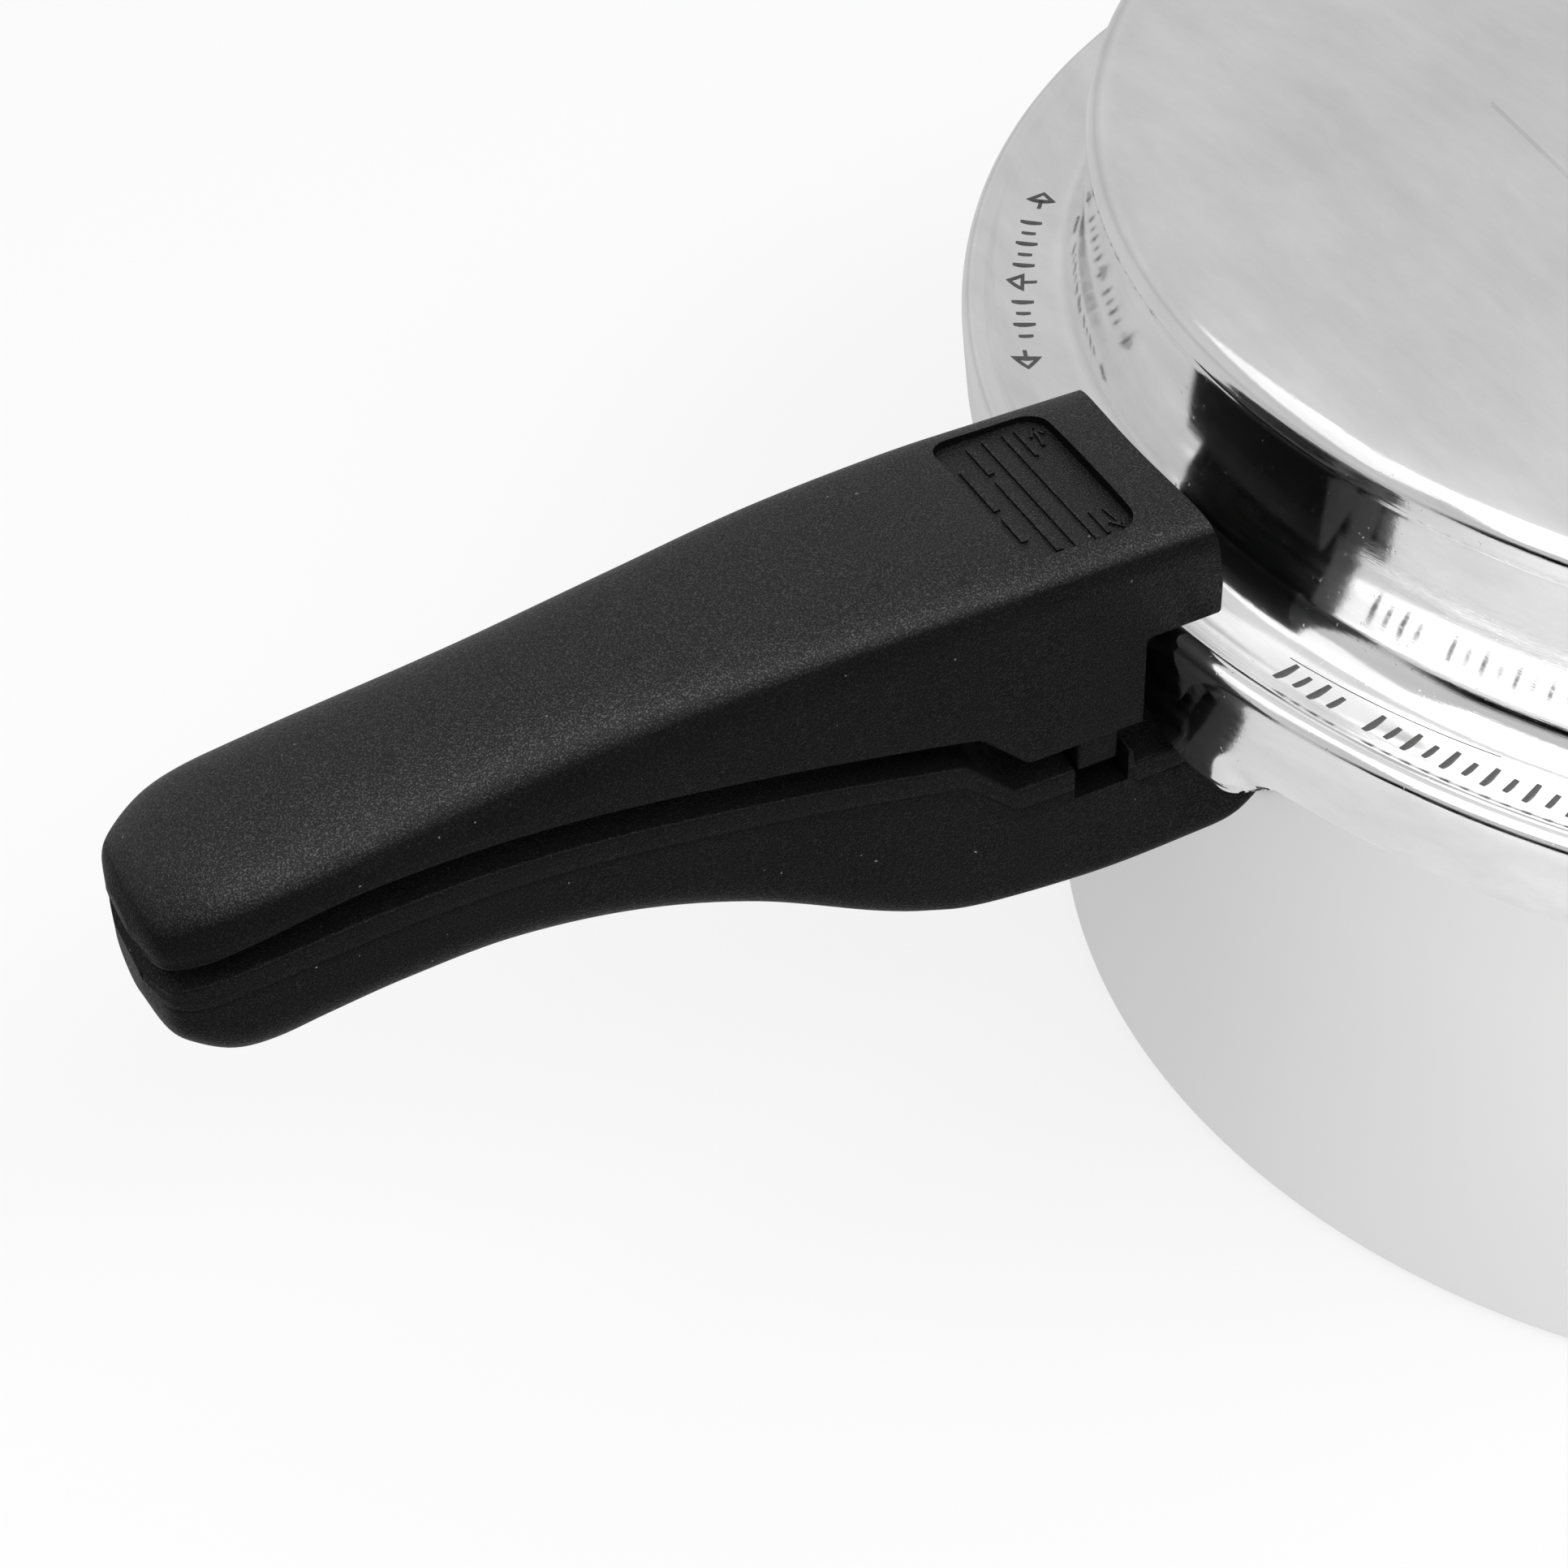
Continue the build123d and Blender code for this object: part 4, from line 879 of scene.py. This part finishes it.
UPPER_STATIONS = [
    # x, half width, side height, crown height, squareness of the crown
    (FRONT_BLANK_X, 17.5, 120.3, 126.0, 0.86),
    (-135.0, 17.6, 120.3, 126.5, 0.86),
    (-150.0, 17.7, 120.0, 126.8, 0.85),
    (-170.0, 17.1, 118.6, 126.6, 0.83),
    (-190.0, 15.9, 116.6, 125.6, 0.76),
    (-210.0, 15.1, 114.6, 124.2, 0.67),
    (-230.0, 14.9, 113.5, 122.0, 0.63),
    (-240.0, 14.9, 112.8, 120.6, 0.62),
    (-247.0, 14.6, 111.8, 119.6, 0.64),
    (-252.0, 13.9, 110.6, 118.2, 0.64),
    (-256.0, 12.3, 109.6, 115.8, 0.62),
    (-258.6, 9.8, 109.2, 113.4, 0.60),
    (TIP_X, 4.4, 108.9, 110.8, 0.58),
]


def upper_flat_path():
    """Side view of the underside: overhang, block behind the skirt, arched grip."""
    front = rounded_path(
        [
            (FRONT_BLANK_X - EDGE_R, UPPER_BLOCK_Z, 0),
            (-146.6, UPPER_BLOCK_Z + 0.4, 2.0),
            (-153.5, 103.4, 3.0),
            (-160.0, 104.9, 0),
        ],
        6,
        closed=False,
    )
    grip = smooth_points(
        [
            (-160.0, 104.9),
            (-174.0, 107.6),
            (-188.0, 109.6),
            (-204.0, 111.6),
            (-220.0, 112.7),
            (-236.0, 112.4),
            (-248.0, 110.3),
            (-255.0, 108.4),
            (-258.6, 107.6),
            (TIP_X, 108.4),
        ],
        8,
    )
    return dense(front, PATH_GAP) + grip[1:]


RECESS_LOW_X, RECESS_HIGH_X, RECESS_HALF_W = -145.0, -128.5, 13.2
RECESS_FLOOR_Z = 124.8
RECESS_CORNER_R = 3.2


def make_upper_handle():
    """Upper grip and block, with its recess, the tongue's pocket and the hollow for the skirt."""
    front_x = FRONT_BLANK_X - EDGE_R
    verts, faces = grip_mesh(upper_flat_path(), UPPER_STATIONS, 1, 0.8, TIP_X, front_x, EDGE_R)
    recess_outline = box_outline(
        RECESS_LOW_X, RECESS_HIGH_X, -RECESS_HALF_W, RECESS_HALF_W, RECESS_CORNER_R, 8
    )
    cut_low_z, cut_top_z = UPPER_CUT_Z
    recess = rounded_prism(recess_outline, RECESS_FLOOR_Z, cut_top_z)
    half_w = TONGUE_HALF_W + SLOT_GAP
    pocket_outline = box_outline(LID_LOW.x - SLOT_GAP, -116.0, -half_w, half_w, 0.6, 2)
    tongue_pocket = rounded_prism(pocket_outline, 90.0, TONGUE_TOP_Z + SLOT_GAP)
    # The hollow clears the skirt up to the overhang, then shapes the front end above it.
    hollow = rounded_path(
        [
            (CUTTER_IN_R, cut_low_z, 0),
            (SKIRT_CLEAR_R, cut_low_z, 0),
            (SKIRT_CLEAR_R, OVERHANG_Z, 0.9),
            (FRONT_LOW_R, OVERHANG_Z, 0.5),
            (FRONT_LOW_R, FRONT_LEAN_Z, 4.0),
            (FRONT_TOP_R, cut_top_z, 0),
            (CUTTER_IN_R, cut_top_z, 0),
        ],
        4,
    )
    skirt_clear = lathe(hollow, full_turn(360))
    mesh = carve(verts, faces, [skirt_clear, recess, tongue_pocket])
    finish_piece("upper_grip", mesh, "lid", BLACK, ["upper_handle"], 40)


make_upper_handle()


def make_guide_tab():
    """The tab under the block that drops into the lower handle's notch."""
    outline = box_outline(*TAB_BOX, 0.5, 3)
    verts, faces = rounded_prism(outline, UPPER_LOW.z, UPPER_BLOCK_Z + 2, 0.5)
    mesh_piece("guide_tab", verts, faces, "lid", BLACK)


make_guide_tab()


def make_recess_marks():
    """Raised arrows and plain lines on the recess floor."""

    def raised(points, width):
        return stroke(points, width, lambda x, y, lift: (x, y, RECESS_FLOOR_Z + lift), -0.1, 0.32)

    parts = []
    for tail, head, side in ((7.2, 10.9, 1), (-7.6, -11.6, -1)):
        bend = [(-130.4 - 0.45 * (1 - t) ** 2, tail + (head - tail) * t) for t in np.linspace(0, 1, 8)]
        parts.append(raised(bend, 0.45))
        barb = [(-131.5, head - side * 1.5), (-130.4, head), (-129.5, head - side * 1.4)]
        parts.append(raised(barb, 0.45))
    for x, pieces, width in (
        (-132.6, ((11.6, 5.8), (-7.2, -12.0)), 0.5),
        (-134.4, ((11.6, -12.4),), 0.5),
        (-137.3, ((11.6, -12.4),), 0.5),
        (-139.6, ((11.2, 5.2), (3.6, -12.0)), 0.9),
        (-142.6, ((7.6, -1.6), (-3.4, -8.6)), 0.9),
    ):
        parts += [raised([(x, start), (x, end)], width) for start, end in pieces]
    verts, faces = join_parts(*parts)
    mesh_piece("recess_marks", verts, faces, "lid", BLACK)


make_recess_marks()

LOWER_FRONT_X = -104.0
LOWER_STATIONS = [
    # x, half width, side height, lowest height, squareness
    (LOWER_FRONT_X + 2, 17.3, 80.6, 79.6, 0.80),
    (-108.0, 17.4, 79.2, 76.2, 0.84),
    (-111.5, 17.5, 76.8, 72.3, 0.88),
    (-114.5, 17.5, 75.2, 70.4, 0.90),
    (-120.0, 17.5, 74.8, 69.8, 0.90),
    (-135.0, 17.5, 74.6, 69.8, 0.90),
    (-152.0, 17.3, 76.6, 71.2, 0.88),
    (-160.0, 17.0, 79.4, 73.0, 0.86),
    (-168.0, 16.6, 83.2, 76.2, 0.84),
    (-184.0, 15.8, 91.6, 84.2, 0.76),
    (-200.0, 15.2, 97.2, 89.1, 0.68),
    (-216.0, 15.0, 100.0, 91.5, 0.64),
    (-230.0, 15.0, 99.8, 91.2, 0.62),
    (-240.0, 15.0, 98.8, 90.3, 0.62),
    (-247.0, 14.7, 98.0, 89.1, 0.63),
    (-252.0, 14.1, 98.0, 89.4, 0.63),
    (-256.0, 12.7, 98.8, 91.4, 0.60),
    (-258.6, 10.6, 99.8, 93.8, 0.58),
    (TIP_X, 4.6, 101.0, 97.4, 0.56),
]
LOWER_STEP_X = -130.4
# what is cut from the lower handle: guide notch, bracket's plate and tongue, screw well
NOTCH_BOX = (-139.6, -131.6, -24.0, -11.8)
NOTCH_FLOOR_Z = 87.4
PLATE_BOX = (-116.4, -100.0, -10.3, 10.3)
PLATE_Z = (71.2, 88.8)
SLOT_BOX = (-152.4, -100.0, -8.3, 8.3)
SLOT_Z = (78.7, 81.8)
SCREW_WELL_X = -141.0
SCREW_WELL_R = 5.6
SCREW_WELL_TOP_Z = 74.4
LOWER_CUT_Z = (60.0, 120.0)
PAN_GAP = 0.25


def lower_flat_path():
    """Side view of the top face: low front, step, ramp and arched grip."""
    front = rounded_path(
        [
            (LOWER_FRONT_X - EDGE_R, 89.8, 0),
            (LOWER_STEP_X, 89.8, 0.4),
            (LOWER_STEP_X - 0.4, 92.4, 0.6),
            (-148.0, 92.4, 2.0),
            (-155.0, 99.4, 3.0),
            (-161.0, 100.7, 0),
        ],
        5,
        closed=False,
    )
    grip = smooth_points(
        [
            (-161.0, 100.7),
            (-174.0, 103.2),
            (-188.0, 105.4),
            (-204.0, 107.6),
            (-220.0, 108.8),
            (-236.0, 108.5),
            (-248.0, 107.1),
            (-255.0, 105.6),
            (-258.4, 104.7),
            (TIP_X, 103.4),
        ],
        8,
    )
    return dense(front, PATH_GAP) + grip[1:]


def make_lower_handle():
    """Lower grip and block, fitted to the pan's wall and cut for the bracket and its screw."""
    front_x = LOWER_FRONT_X - EDGE_R
    verts, faces = grip_mesh(lower_flat_path(), LOWER_STATIONS, -1, 0.5, TIP_X, front_x, EDGE_R, 0.10)
    low_z, top_z = LOWER_CUT_Z
    clear_r = PAN_R + PAN_GAP
    clear = [(CUTTER_IN_R, low_z), (clear_r, low_z), (clear_r, top_z), (CUTTER_IN_R, top_z)]
    pan_clear = lathe(clear, full_turn(360))
    notch = rounded_prism(box_outline(*NOTCH_BOX, 0.5, 3), NOTCH_FLOOR_Z, 98.0)
    plate_pocket = rounded_prism(box_outline(*PLATE_BOX, 0.5, 2), *PLATE_Z)
    tongue_slot = rounded_prism(box_outline(*SLOT_BOX, 0.5, 2), *SLOT_Z)
    well = [(0.01, low_z), (SCREW_WELL_R, low_z)]
    well += [(SCREW_WELL_R, SCREW_WELL_TOP_Z), (0.01, SCREW_WELL_TOP_Z)]
    bore = lathe(well, full_turn(40), (SCREW_WELL_X, 0))
    mesh = carve(verts, faces, [pan_clear, notch, plate_pocket, tongue_slot, bore])
    # the lower grip takes the shaded copy of the moulding: painted shade on its top faces
    finish_piece("lower_grip", mesh, "pan", PAINTED_SHADE_BLACK, ["lower_handle"], 40)


make_lower_handle()

# ---------------------------------------------------------------- regulator and plug

WEIGHT_BORE_R = 7.06
WEIGHT_BORE_TOP_Z = 177.3
WEIGHT_NECK_R = 8.5
KNURLS = 60
KNURL_DEPTH = 0.35
FLUTES = 12
FLUTE_DEPTH = 0.8


def make_weight():
    """Plated vent weight with a knurled band and two grooves."""
    low, high, radius = WEIGHT_LOW.z, WEIGHT_HIGH.z, WEIGHT_HIGH.x
    corners = [(WEIGHT_BORE_R, low, 0.2), (radius - 0.6, low, 0.6), (radius, low + 1.4, 0.5)]
    for groove_z in (low + 5.0, low + 16.6):
        corners += [
            (radius, groove_z, 0.2),
            (radius - 0.7, groove_z + 0.4, 0.2),
            (radius - 0.7, groove_z + 1.2, 0.2),
            (radius, groove_z + 1.6, 0.2),
        ]
    corners += [
        (radius, high - 10.6, 0.8),
        (10.5, high - 4.0, 0.6),
        (WEIGHT_NECK_R, high - 3.8, 0.4),
        (WEIGHT_NECK_R, high, 0.3),
        (1.6, high, 0),
        (1.6, WEIGHT_BORE_TOP_Z, 0),
        (WEIGHT_BORE_R, WEIGHT_BORE_TOP_Z, 0),
    ]
    path = dense(rounded_path(corners, 3), 1.0)
    path = path + dense([path[-1], path[0]], 2.0)[1:-1]

    def knurl(r, z, azimuth):
        if r > radius - 0.1 and low + 7.0 < z < low + 16.2:
            r -= KNURL_DEPTH * (0.5 + 0.5 * math.cos(math.radians(azimuth * KNURLS)))
        return r, z

    verts, faces = lathe(path, full_turn(360), shape=knurl)
    mesh_piece("vent_weight", verts, faces, "regulator", CHROME, ["regulator_weight"], 40)


make_weight()


def make_knob():
    """Black finger knob with shallow flutes."""
    low, high, radius = KNOB_LOW.z, KNOB_HIGH.z, KNOB_HIGH.x
    corners = [
        (1.7, low, 0),
        (8.4, low, 0.6),
        (radius, low + 4.0, 1.4),
        (radius, high - 3.0, 1.6),
        (radius - 2.6, high, 1.6),
        (4.2, high, 0.6),
        (3.4, high - 1.0, 0.3),
        (3.2, high - 5.0, 0),
        (1.7, high - 5.0, 0),
    ]
    path = dense(rounded_path(corners, 4), 0.8)
    path = path + dense([path[-1], path[0]], 2.0)[1:-1]

    def flutes(r, z, azimuth):
        wave = 0.5 + 0.5 * math.cos(math.radians(azimuth * FLUTES))
        return r - ramp(r, radius - 2.5, radius - 0.5) * FLUTE_DEPTH * wave**2, z

    verts, faces = lathe(path, full_turn(240), shape=flutes)
    mesh_piece("weight_knob", verts, faces, "regulator", BLACK, ["regulator_knob"])


make_knob()


def hexagon_prism(centre, across, low, high, hole_r):
    """A hexagon with turned chamfers on its top corners and a round hole."""
    count = 72
    corner_r = across / math.sqrt(3)
    turned = [2 * math.pi * i / count for i in range(count)]
    verts = []
    for cut, z in ((0.0, low), (0.0, high - 1.1), (1.0, high)):
        for a in turned:
            local = (a + math.pi / 6) % (math.pi / 3) - math.pi / 6
            flat_r = across / 2 / math.cos(local)
            r = min(flat_r, corner_r - cut * (corner_r - across / 2) - 0.35 * cut)
            verts.append((centre[0] + r * math.cos(a), centre[1] + r * math.sin(a), z))
    for z in (high, low):
        verts += [(centre[0] + hole_r * math.cos(a), centre[1] + hole_r * math.sin(a), z) for a in turned]
    return verts, ring_faces(5, count, True)


def make_plug():
    """Safety plug: chamfered hexagon, threaded shank and domed collar round the core."""
    hexagon = hexagon_prism(PLUG_CENTRE, 17.0, 145.6, 150.6, 5.0)
    shank_path = [(2.45, 133.2), (5.5, 133.2), (5.9, 133.6)]
    for i in range(11):
        z = 133.9 + i
        shank_path += [(5.95, z), (5.45, z + 0.5)]
    shank_path += [(5.9, 145.4), (6.1, 150.7), (5.9, 151.6), (5.3, 152.6), (2.9, 153.0), (2.45, 152.6)]
    shank = lathe(shank_path, full_turn(60), PLUG_CENTRE)
    verts, faces = join_parts(hexagon, shank)
    mesh_piece("plug_body", verts, faces, "lid", BRASS, ["safety_plug_body"], 30)


make_plug()


def make_vent_pipe():
    """Vent pipe: threaded below, a chamfered hexagon on the lid and a smooth nozzle."""
    collar = hexagon_prism((0, 0), 14.0, 147.4, 151.4, 4.0)
    low, high = node_box("vent_pipe")
    path = [(1.35, low.z), (4.6, low.z), (4.95, low.z + 0.4)]
    for i in range(12):
        z = low.z + 0.8 + i
        path += [(4.95, z), (4.5, z + 0.5)]
    path += [(4.9, 147.2), (4.9, 151.5), (4.0, 152.0), (3.6, 166.8), (2.8, high.z), (1.35, high.z)]
    nozzle = lathe(path, full_turn(60))
    verts, faces = join_parts(collar, nozzle)
    mesh_piece("vent_nipple", verts, faces, "lid", CHROME, ["vent_pipe"], 30)


make_vent_pipe()

# ---------------------------------------------------------------- CAD nodes that stay

WELD_DIST_M = 5e-6
BEVEL_WIDTH_M = 0.00015
BEVEL_FROM_DEG = 40
KEPT = {
    "pan_bracket": STEEL,
    "bracket_rivets": RIVET,
    "lower_handle_screw": STEEL,
    "lower_handle_washer": STEEL,
    "lower_handle_nut": STEEL,
    "sealing_gasket": RUBBER,
    "upper_handle_insert": BRASS,
    "upper_handle_screw": STEEL,
    "upper_handle_washer": STEEL,
    "vent_pipe_gasket": RUBBER,
    "vent_pipe_nut": STEEL,
    "safety_plug_core": ALLOY,
    "safety_plug_seal": RUBBER,
    "safety_plug_nut": BRASS,
    "regulator_bush": STEEL,
    "regulator_needle": STEEL,
    "regulator_screw": STEEL,
}
for node, material in KEPT.items():
    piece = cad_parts[node]
    piece.data.materials.clear()
    piece.data.materials.append(material)
    weld = piece.modifiers.new("weld", "WELD")
    weld.merge_threshold = WELD_DIST_M
    bevel = piece.modifiers.new("bevel", "BEVEL")
    bevel.width = BEVEL_WIDTH_M
    bevel.segments = 2
    bevel.limit_method = "ANGLE"
    bevel.angle_limit = math.radians(BEVEL_FROM_DEG)

# ---------------------------------------------------------------- floor, light, camera

FLOOR_HALF_M = 3.0
FLOOR_DROP_M = 0.0002
FLOOR_TONE = 0.2
FLOOR_SEEN = 0.75  # the floor's glow to the eye
# y from, y to, and the glow at each, as reflections see it: brighter towards the front
FLOOR_REFLECTED = (0.12, -0.22, 0.40, 0.76)
# upward direction and the room's brightness there
WORLD_STOPS = [(0.0, 0.52), (0.25, 0.64), (0.48, 0.60), (0.68, 0.62), (1.0, 0.85)]
# the flag's direction, then its soft edge as the cosine from it, then its soft top
FLAG_TOWARDS = (-0.95, -0.31, 0.0)
FLAG_ACROSS = (0.91, 0.965)
FLAG_UPWARD = (0.18, 0.36)


def make_floor():
    """A plain pale floor, bright to the eye and dimmer in reflections."""
    mesh = bpy.data.meshes.new("floor")
    corners = [(x * FLOOR_HALF_M, y * FLOOR_HALF_M, 0) for x, y in ((-1, -1), (1, -1), (1, 1), (-1, 1))]
    mesh.from_pydata(corners, [], [(0, 1, 2, 3)])
    floor = bpy.data.objects.new("floor", mesh)
    bpy.context.scene.collection.objects.link(floor)
    floor.location.z = -FLOOR_DROP_M
    material = bpy.data.materials.new("floor")
    material.use_nodes = True
    tree = material.node_tree
    shader = tree.nodes["Principled BSDF"]
    shader.inputs["Base Color"].default_value = (FLOOR_TONE, FLOOR_TONE, FLOOR_TONE, 1)
    shader.inputs["Roughness"].default_value = 1.0
    shader.inputs["Specular IOR Level"].default_value = 0.0
    shader.inputs["Emission Color"].default_value = (1, 1, 1, 1)
    light_path = tree.nodes.new("ShaderNodeLightPath")
    where = tree.nodes.new("ShaderNodeTexCoord")
    split = tree.nodes.new("ShaderNodeSeparateXYZ")
    across = tree.nodes.new("ShaderNodeMapRange")
    set_range(across, *FLOOR_REFLECTED)
    glow = tree.nodes.new("ShaderNodeMapRange")
    glow.inputs["To Max"].default_value = FLOOR_SEEN
    tree.links.new(where.outputs["Object"], split.inputs[0])
    tree.links.new(split.outputs["Y"], across.inputs["Value"])
    tree.links.new(across.outputs["Result"], glow.inputs["To Min"])
    tree.links.new(light_path.outputs["Is Camera Ray"], glow.inputs["Value"])
    tree.links.new(glow.outputs["Result"], shader.inputs["Emission Strength"])
    mesh.materials.append(material)


make_floor()


def make_world():
    """A pale room, brightest overhead, with a dark flag low on the left."""
    world = bpy.data.worlds.new("studio")
    bpy.context.scene.world = world
    world.use_nodes = True
    tree = world.node_tree
    background = tree.nodes["Background"]
    where = tree.nodes.new("ShaderNodeTexCoord")
    split = tree.nodes.new("ShaderNodeSeparateXYZ")
    sky = tree.nodes.new("ShaderNodeValToRGB")
    stops = sky.color_ramp.elements
    stops[0].position, stops[1].position = WORLD_STOPS[0][0], WORLD_STOPS[1][0]
    for position, _ in WORLD_STOPS[2:]:
        stops.new(position)
    for stop, (_, level) in zip(stops, WORLD_STOPS):
        stop.color = (level, level, level, 1)
    tree.links.new(where.outputs["Generated"], split.inputs[0])
    tree.links.new(split.outputs["Z"], sky.inputs["Fac"])
    tree.links.new(sky.outputs["Color"], background.inputs["Color"])
    # The flag: no light from its direction below its top, full light everywhere else.
    toward = tree.nodes.new("ShaderNodeVectorMath")
    toward.operation = "DOT_PRODUCT"
    toward.inputs[1].default_value = FLAG_TOWARDS
    tree.links.new(where.outputs["Generated"], toward.inputs[0])
    across = tree.nodes.new("ShaderNodeMapRange")
    upward = tree.nodes.new("ShaderNodeMapRange")
    for node, source, limits in (
        (across, toward.outputs["Value"], (*FLAG_ACROSS, 1, 0)),
        (upward, split.outputs["Z"], (*FLAG_UPWARD, 0, 1)),
    ):
        node.interpolation_type = "SMOOTHSTEP"
        set_range(node, *limits)
        tree.links.new(source, node.inputs["Value"])
    clear = tree.nodes.new("ShaderNodeMath")
    clear.operation = "MAXIMUM"
    tree.links.new(across.outputs["Result"], clear.inputs[0])
    tree.links.new(upward.outputs["Result"], clear.inputs[1])
    tree.links.new(clear.outputs[0], background.inputs["Strength"])


make_world()


def area_light(name, location, target, size, power):
    """A softbox at a place in metres, aimed at the target, with its power in watts."""
    data = bpy.data.lights.new(name, "AREA")
    data.shape = "RECTANGLE"
    data.size, data.size_y = size
    data.energy = power
    light = bpy.data.objects.new(name, data)
    bpy.context.scene.collection.objects.link(light)
    light.location = location
    aim = Vector(target) - Vector(location)
    light.rotation_euler = aim.to_track_quat("-Z", "Y").to_euler()


LID_MIDDLE = (-0.10, 0, 0.12)
area_light("overhead_softbox", (-0.45, -0.30, 1.1), LID_MIDDLE, (1.3, 1.1), 4.5)
area_light("left_softbox", (-0.75, 0.50, 1.05), LID_MIDDLE, (0.8, 0.6), 0.7)
area_light("front_softbox", (0.15, -0.72, 1.0), LID_MIDDLE, (1.1, 0.4), 7.0)

# The camera looks down at the handle from the front left, a little rolled.
CAMERA_AT = Vector((-310.4, -292.5, 391.8)) * MM
CAMERA_FORWARD = Vector((0.3114, 0.66204, -0.68172))
CAMERA_UP = Vector((0.32759, 0.59863, 0.73098))
CAMERA_LENS_MM = 78.495


def make_camera():
    data = bpy.data.cameras.new("camera")
    data.lens = CAMERA_LENS_MM
    data.sensor_width = 36.0
    data.clip_start = 0.01
    camera = bpy.data.objects.new("camera", data)
    bpy.context.scene.collection.objects.link(camera)
    right = CAMERA_FORWARD.cross(CAMERA_UP).normalized()
    up = right.cross(CAMERA_FORWARD).normalized()
    turn = np.array([right, up, -CAMERA_FORWARD.normalized()]).T
    camera.matrix_world = Matrix.Translation(CAMERA_AT) @ Matrix(turn.tolist()).to_4x4()
    bpy.context.scene.camera = camera


make_camera()
bpy.context.scene.view_settings.view_transform = "Standard"
